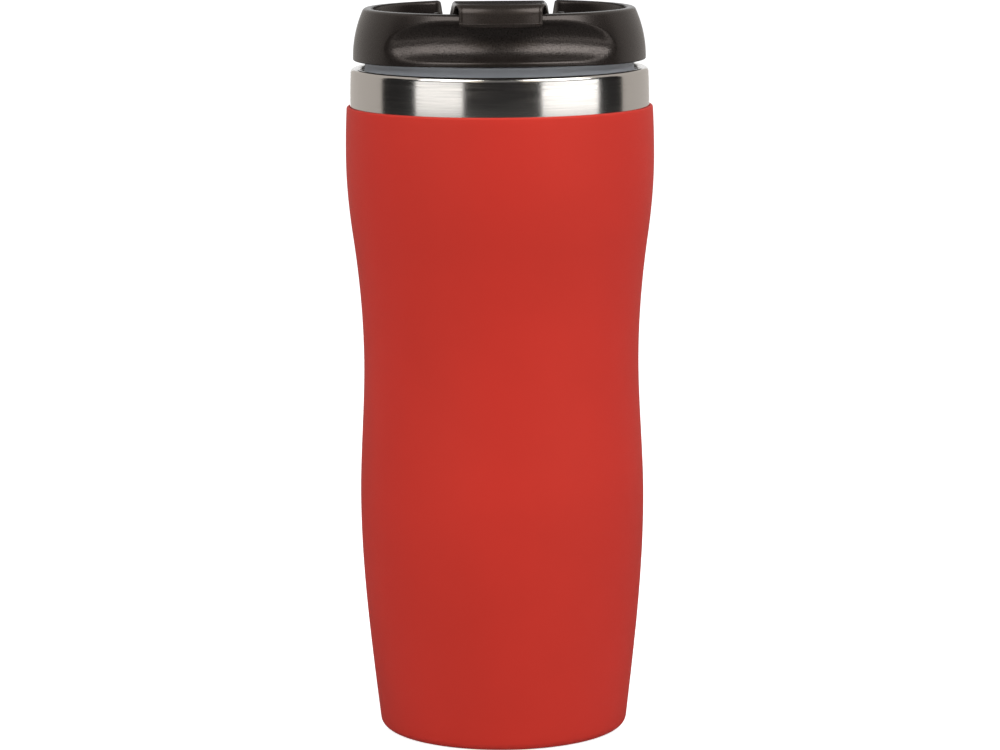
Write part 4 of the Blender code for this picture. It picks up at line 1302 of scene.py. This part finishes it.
# Brightness and tint of the card of each tone
CARD_TONES = {
    "black": (0.02, NEUTRAL),
    "dark grey": (0.2, NEUTRAL),
    "warm grey": (0.62, "#FFF8F1"),
    "warm white": (0.9, "#FFF4E0"),
    "pale": (1.85, NEUTRAL),
    "white": (2.4, NEUTRAL),
}
# Azimuths at which the cards meet, left and right
MIDDLE_L, MIDDLE_R = -15.0, 17.0
FRONT_L, FRONT_R = -28.0, 31.0
LAMP_L, LAMP_R = -66.5, 79.0
SIDE_L, SIDE_R = -100.5, 105.5
BACK_L, BACK_R = -165.0, 165.0
# Upright cards: name, tone, azimuths, distance, heights
UPRIGHT_CARDS = (
    ("card_front", "black", (FRONT_L, FRONT_R), 1.4, (0.0, 0.45)),
    ("card_front_high", "dark grey", (MIDDLE_L, MIDDLE_R), 1.4, (0.45, 1.8)),
    ("card_front_high_left", "warm white", (FRONT_L, MIDDLE_L), 1.4, (0.45, 1.8)),
    ("card_front_high_right", "warm white", (MIDDLE_R, FRONT_R), 1.4, (0.45, 1.8)),
    ("card_far_left", "black", (LAMP_L, FRONT_L), 2.0, (0.0, 2.5)),
    ("card_far_right", "black", (FRONT_R, LAMP_R), 2.0, (0.0, 2.5)),
    ("card_left", "black", (SIDE_L, LAMP_L), 1.0, (0.0, 0.75)),
    ("card_right", "black", (LAMP_R, SIDE_R), 1.0, (0.0, 0.75)),
    ("card_left_high", "warm grey", (SIDE_L, LAMP_L), 1.0, (0.75, 1.5)),
    ("card_right_high", "warm grey", (LAMP_R, SIDE_R), 1.0, (0.75, 1.5)),
    ("card_low_left", "pale", (LAMP_L, FRONT_L), 1.15, (0.06, 0.26)),
    ("card_low_right", "white", (FRONT_R, LAMP_R), 1.15, (0.06, 0.26)),
    ("card_back_left", "warm grey", (BACK_L, SIDE_L), 1.0, (0.0, 1.5)),
    ("card_back_right", "warm grey", (SIDE_R, BACK_R), 1.0, (0.0, 1.5)),
    ("card_behind", "black", (169.5, 190.5), 0.095, (0.19, 0.3)),
)
# Level cards: name, tone, half their width, height
LEVEL_CARDS = (
    ("card_table", "dark grey", 1.5, 0.0002),
    ("card_ceiling", "black", 2.0, 2.0),
)
LENS_MM = 135.0
SENSOR_MM = 36.0
CAMERA_PLACE = (-0.0004, -1.030, 0.261)
CAMERA_AZIMUTH = -0.65
CAMERA_TILT = 81.05
CAMERA_ROLL = -0.37


def seen_rays(tree):
    """1 for rays that show the background: from the camera, off gloss and through glass."""
    path = add(tree, "ShaderNodeLightPath")
    glossy = add(tree, MATH, MAXIMUM, {0: path.outputs["Is Camera Ray"], 1: path.outputs["Is Glossy Ray"]})
    return add(tree, MATH, MAXIMUM, {0: glossy, 1: path.outputs["Is Transmission Ray"]})


def white_world(stage):
    """White all round where it is seen, and an even fill light elsewhere."""
    world = bpy.data.worlds.new("white studio")
    world.use_nodes = True
    tree = world.node_tree
    tree.nodes.clear()
    strength = add(tree, "ShaderNodeMapRange", None,
                   {"Value": seen_rays(tree), "To Min": stage.fill, "To Max": 1.0})
    light = add(tree, "ShaderNodeBackground", None, {"Color": WHITE, "Strength": strength})
    add(tree, "ShaderNodeOutputWorld", None, {"Surface": light})
    bpy.context.scene.world = world


def floor_paper(stage):
    """White studio paper: it keeps the mug's shadow, and glows a little more far from it."""
    made, tree = new_material("studio paper, white")
    place = add(tree, "ShaderNodeTexCoord").outputs["Object"]
    away = add(tree, "ShaderNodeVectorMath", {"operation": "LENGTH"}, {0: place}).outputs["Value"]
    glow = add(tree, "ShaderNodeMapRange", None,
               {"Value": away, "From Min": GLOW_FROM, "From Max": GLOW_TO,
                "To Min": stage.floor_glow, "To Max": FAR_GLOW})
    seen = add(tree, MATH, MULTIPLY, {0: seen_rays(tree), 1: glow})
    shine = add(tree, "ShaderNodeEmission", None, {"Color": WHITE, "Strength": seen})
    paper = add(tree, "ShaderNodeBsdfDiffuse", None, {"Color": PAPER_GREY})
    both = add(tree, "ShaderNodeAddShader", None, {0: shine, 1: paper})
    add(tree, "ShaderNodeOutputMaterial", None, {"Surface": both})
    return made


def studio_card(tone):
    """Matt card that shows an even brightness in reflections."""
    brightness, code = CARD_TONES[tone]
    made, tree = new_material("studio card, " + tone)
    shine = add(tree, "ShaderNodeEmission", None, {"Color": (*linear(code), 1.0), "Strength": brightness})
    add(tree, "ShaderNodeOutputMaterial", None, {"Surface": shine})
    return made


def round_mug(azimuth, distance, z):
    """Place at an azimuth and a distance from the mug's axis."""
    angle = math.radians(azimuth)
    return (distance * math.sin(angle), -distance * math.cos(angle), z)


def stand_cards():
    """Puts up the cards that only reflections see."""
    cards = {tone: studio_card(tone) for tone in CARD_TONES}
    panels = []
    for name, tone, (start, end), distance, (low, high) in UPRIGHT_CARDS:
        corners = ((start, low), (end, low), (end, high), (start, high))
        panels.append((name, tone, [round_mug(azimuth, distance, z) for azimuth, z in corners]))
    for name, tone, half, height in LEVEL_CARDS:
        corners = ((-half, -half), (half, -half), (half, half), (-half, half))
        panels.append((name, tone, [(x, y, height) for x, y in corners]))
    for name, tone, corners in panels:
        panel = new_piece(name, corners, [], [(0, 1, 2, 3)])
        give_finish(panel, cards[tone])
        for rays in ("camera", "diffuse", "shadow", "transmission"):
            setattr(panel, "visible_" + rays, False)


def softbox(name, azimuth, size, power):
    """A softbox that faces the rim."""
    light = bpy.data.lights.new(name, "AREA")
    light.shape = "RECTANGLE"
    light.size, light.size_y = size
    light.energy = power
    lamp = put_in_scene(name, light)
    elevation = math.radians(SOFTBOX_ELEVATION)
    back = Vector(round_mug(azimuth, math.cos(elevation), math.sin(elevation)))
    lamp.location = Vector((0.0, 0.0, RIM_TOP)) + SOFTBOX_DISTANCE * back
    lamp.rotation_mode = "QUATERNION"
    lamp.rotation_quaternion = (-back).to_track_quat("-Z", "Y")
    lamp.visible_camera = False


def place_camera(scene):
    """Looks at the mug from the front and a little above."""
    view = bpy.data.cameras.new("camera")
    view.lens = LENS_MM
    view.sensor_width = SENSOR_MM
    camera = put_in_scene("camera", view)
    camera.matrix_world = (Matrix.Rotation(math.radians(CAMERA_AZIMUTH), 4, "Z")
                           @ Matrix.Translation(CAMERA_PLACE)
                           @ Matrix.Rotation(math.radians(CAMERA_TILT), 4, "X")
                           @ Matrix.Rotation(math.radians(CAMERA_ROLL), 4, "Z"))
    scene.camera = camera


class MUG_OT_stage(MugOperator, bpy.types.Operator):
    """Sets up the white floor, the softboxes, the cards and the camera"""
    bl_idname = "mug.stage"
    bl_label = "Stage"

    def execute(self, context):
        stage = context.scene.mug.stage
        white_world(stage)
        floor = new_piece("floor")
        with reshaped(floor.data) as shape:
            bmesh.ops.create_circle(shape, cap_ends=True, segments=96, radius=FLOOR_R)
        give_finish(floor, floor_paper(stage))
        for name, setting, azimuth, size in SOFTBOXES:
            softbox(name, azimuth, size, getattr(stage, setting))
        stand_cards()
        place_camera(context.scene)
        context.scene.view_settings.view_transform = "Standard"
        return {"FINISHED"}


MUG_OPERATORS = (
    MUG_OT_coated_shell, MUG_OT_brushed_liner, MUG_OT_pressed_base, MUG_OT_moulded_cap, MUG_OT_moulded_plug,
    MUG_OT_silicone_seal, MUG_OT_hinge_pin, MUG_OT_moulded_lever, MUG_OT_silicone_stopper, MUG_OT_stage,
)


class MUG_PT_pieces(bpy.types.Panel):
    """Lists the operators that make the mug and its stage"""
    bl_idname = "MUG_PT_pieces"
    bl_label = "Travel mug"
    bl_space_type = "VIEW_3D"
    bl_region_type = "UI"
    bl_category = "Mug"

    def draw(self, context):
        for operator in MUG_OPERATORS:
            self.layout.operator(operator.bl_idname)


CLASSES = (
    CupSettings, LidSettings, LeverSettings, FinishSettings, StageSettings, MugSettings,
    *MUG_OPERATORS, MUG_PT_pieces,
)


def register():
    """Registers the classes and the scene's settings."""
    for item in CLASSES:
        bpy.utils.register_class(item)
    bpy.types.Scene.mug = PointerProperty(type=MugSettings)


def unregister():
    """Takes the settings and the classes away again."""
    del bpy.types.Scene.mug
    for item in reversed(CLASSES):
        bpy.utils.unregister_class(item)


def main():
    """Makes every piece and the stage."""
    register()
    for operator in MUG_OPERATORS:
        group, name = operator.bl_idname.split(".")
        getattr(getattr(bpy.ops, group), name)()


if __name__ == "__main__":
    main()
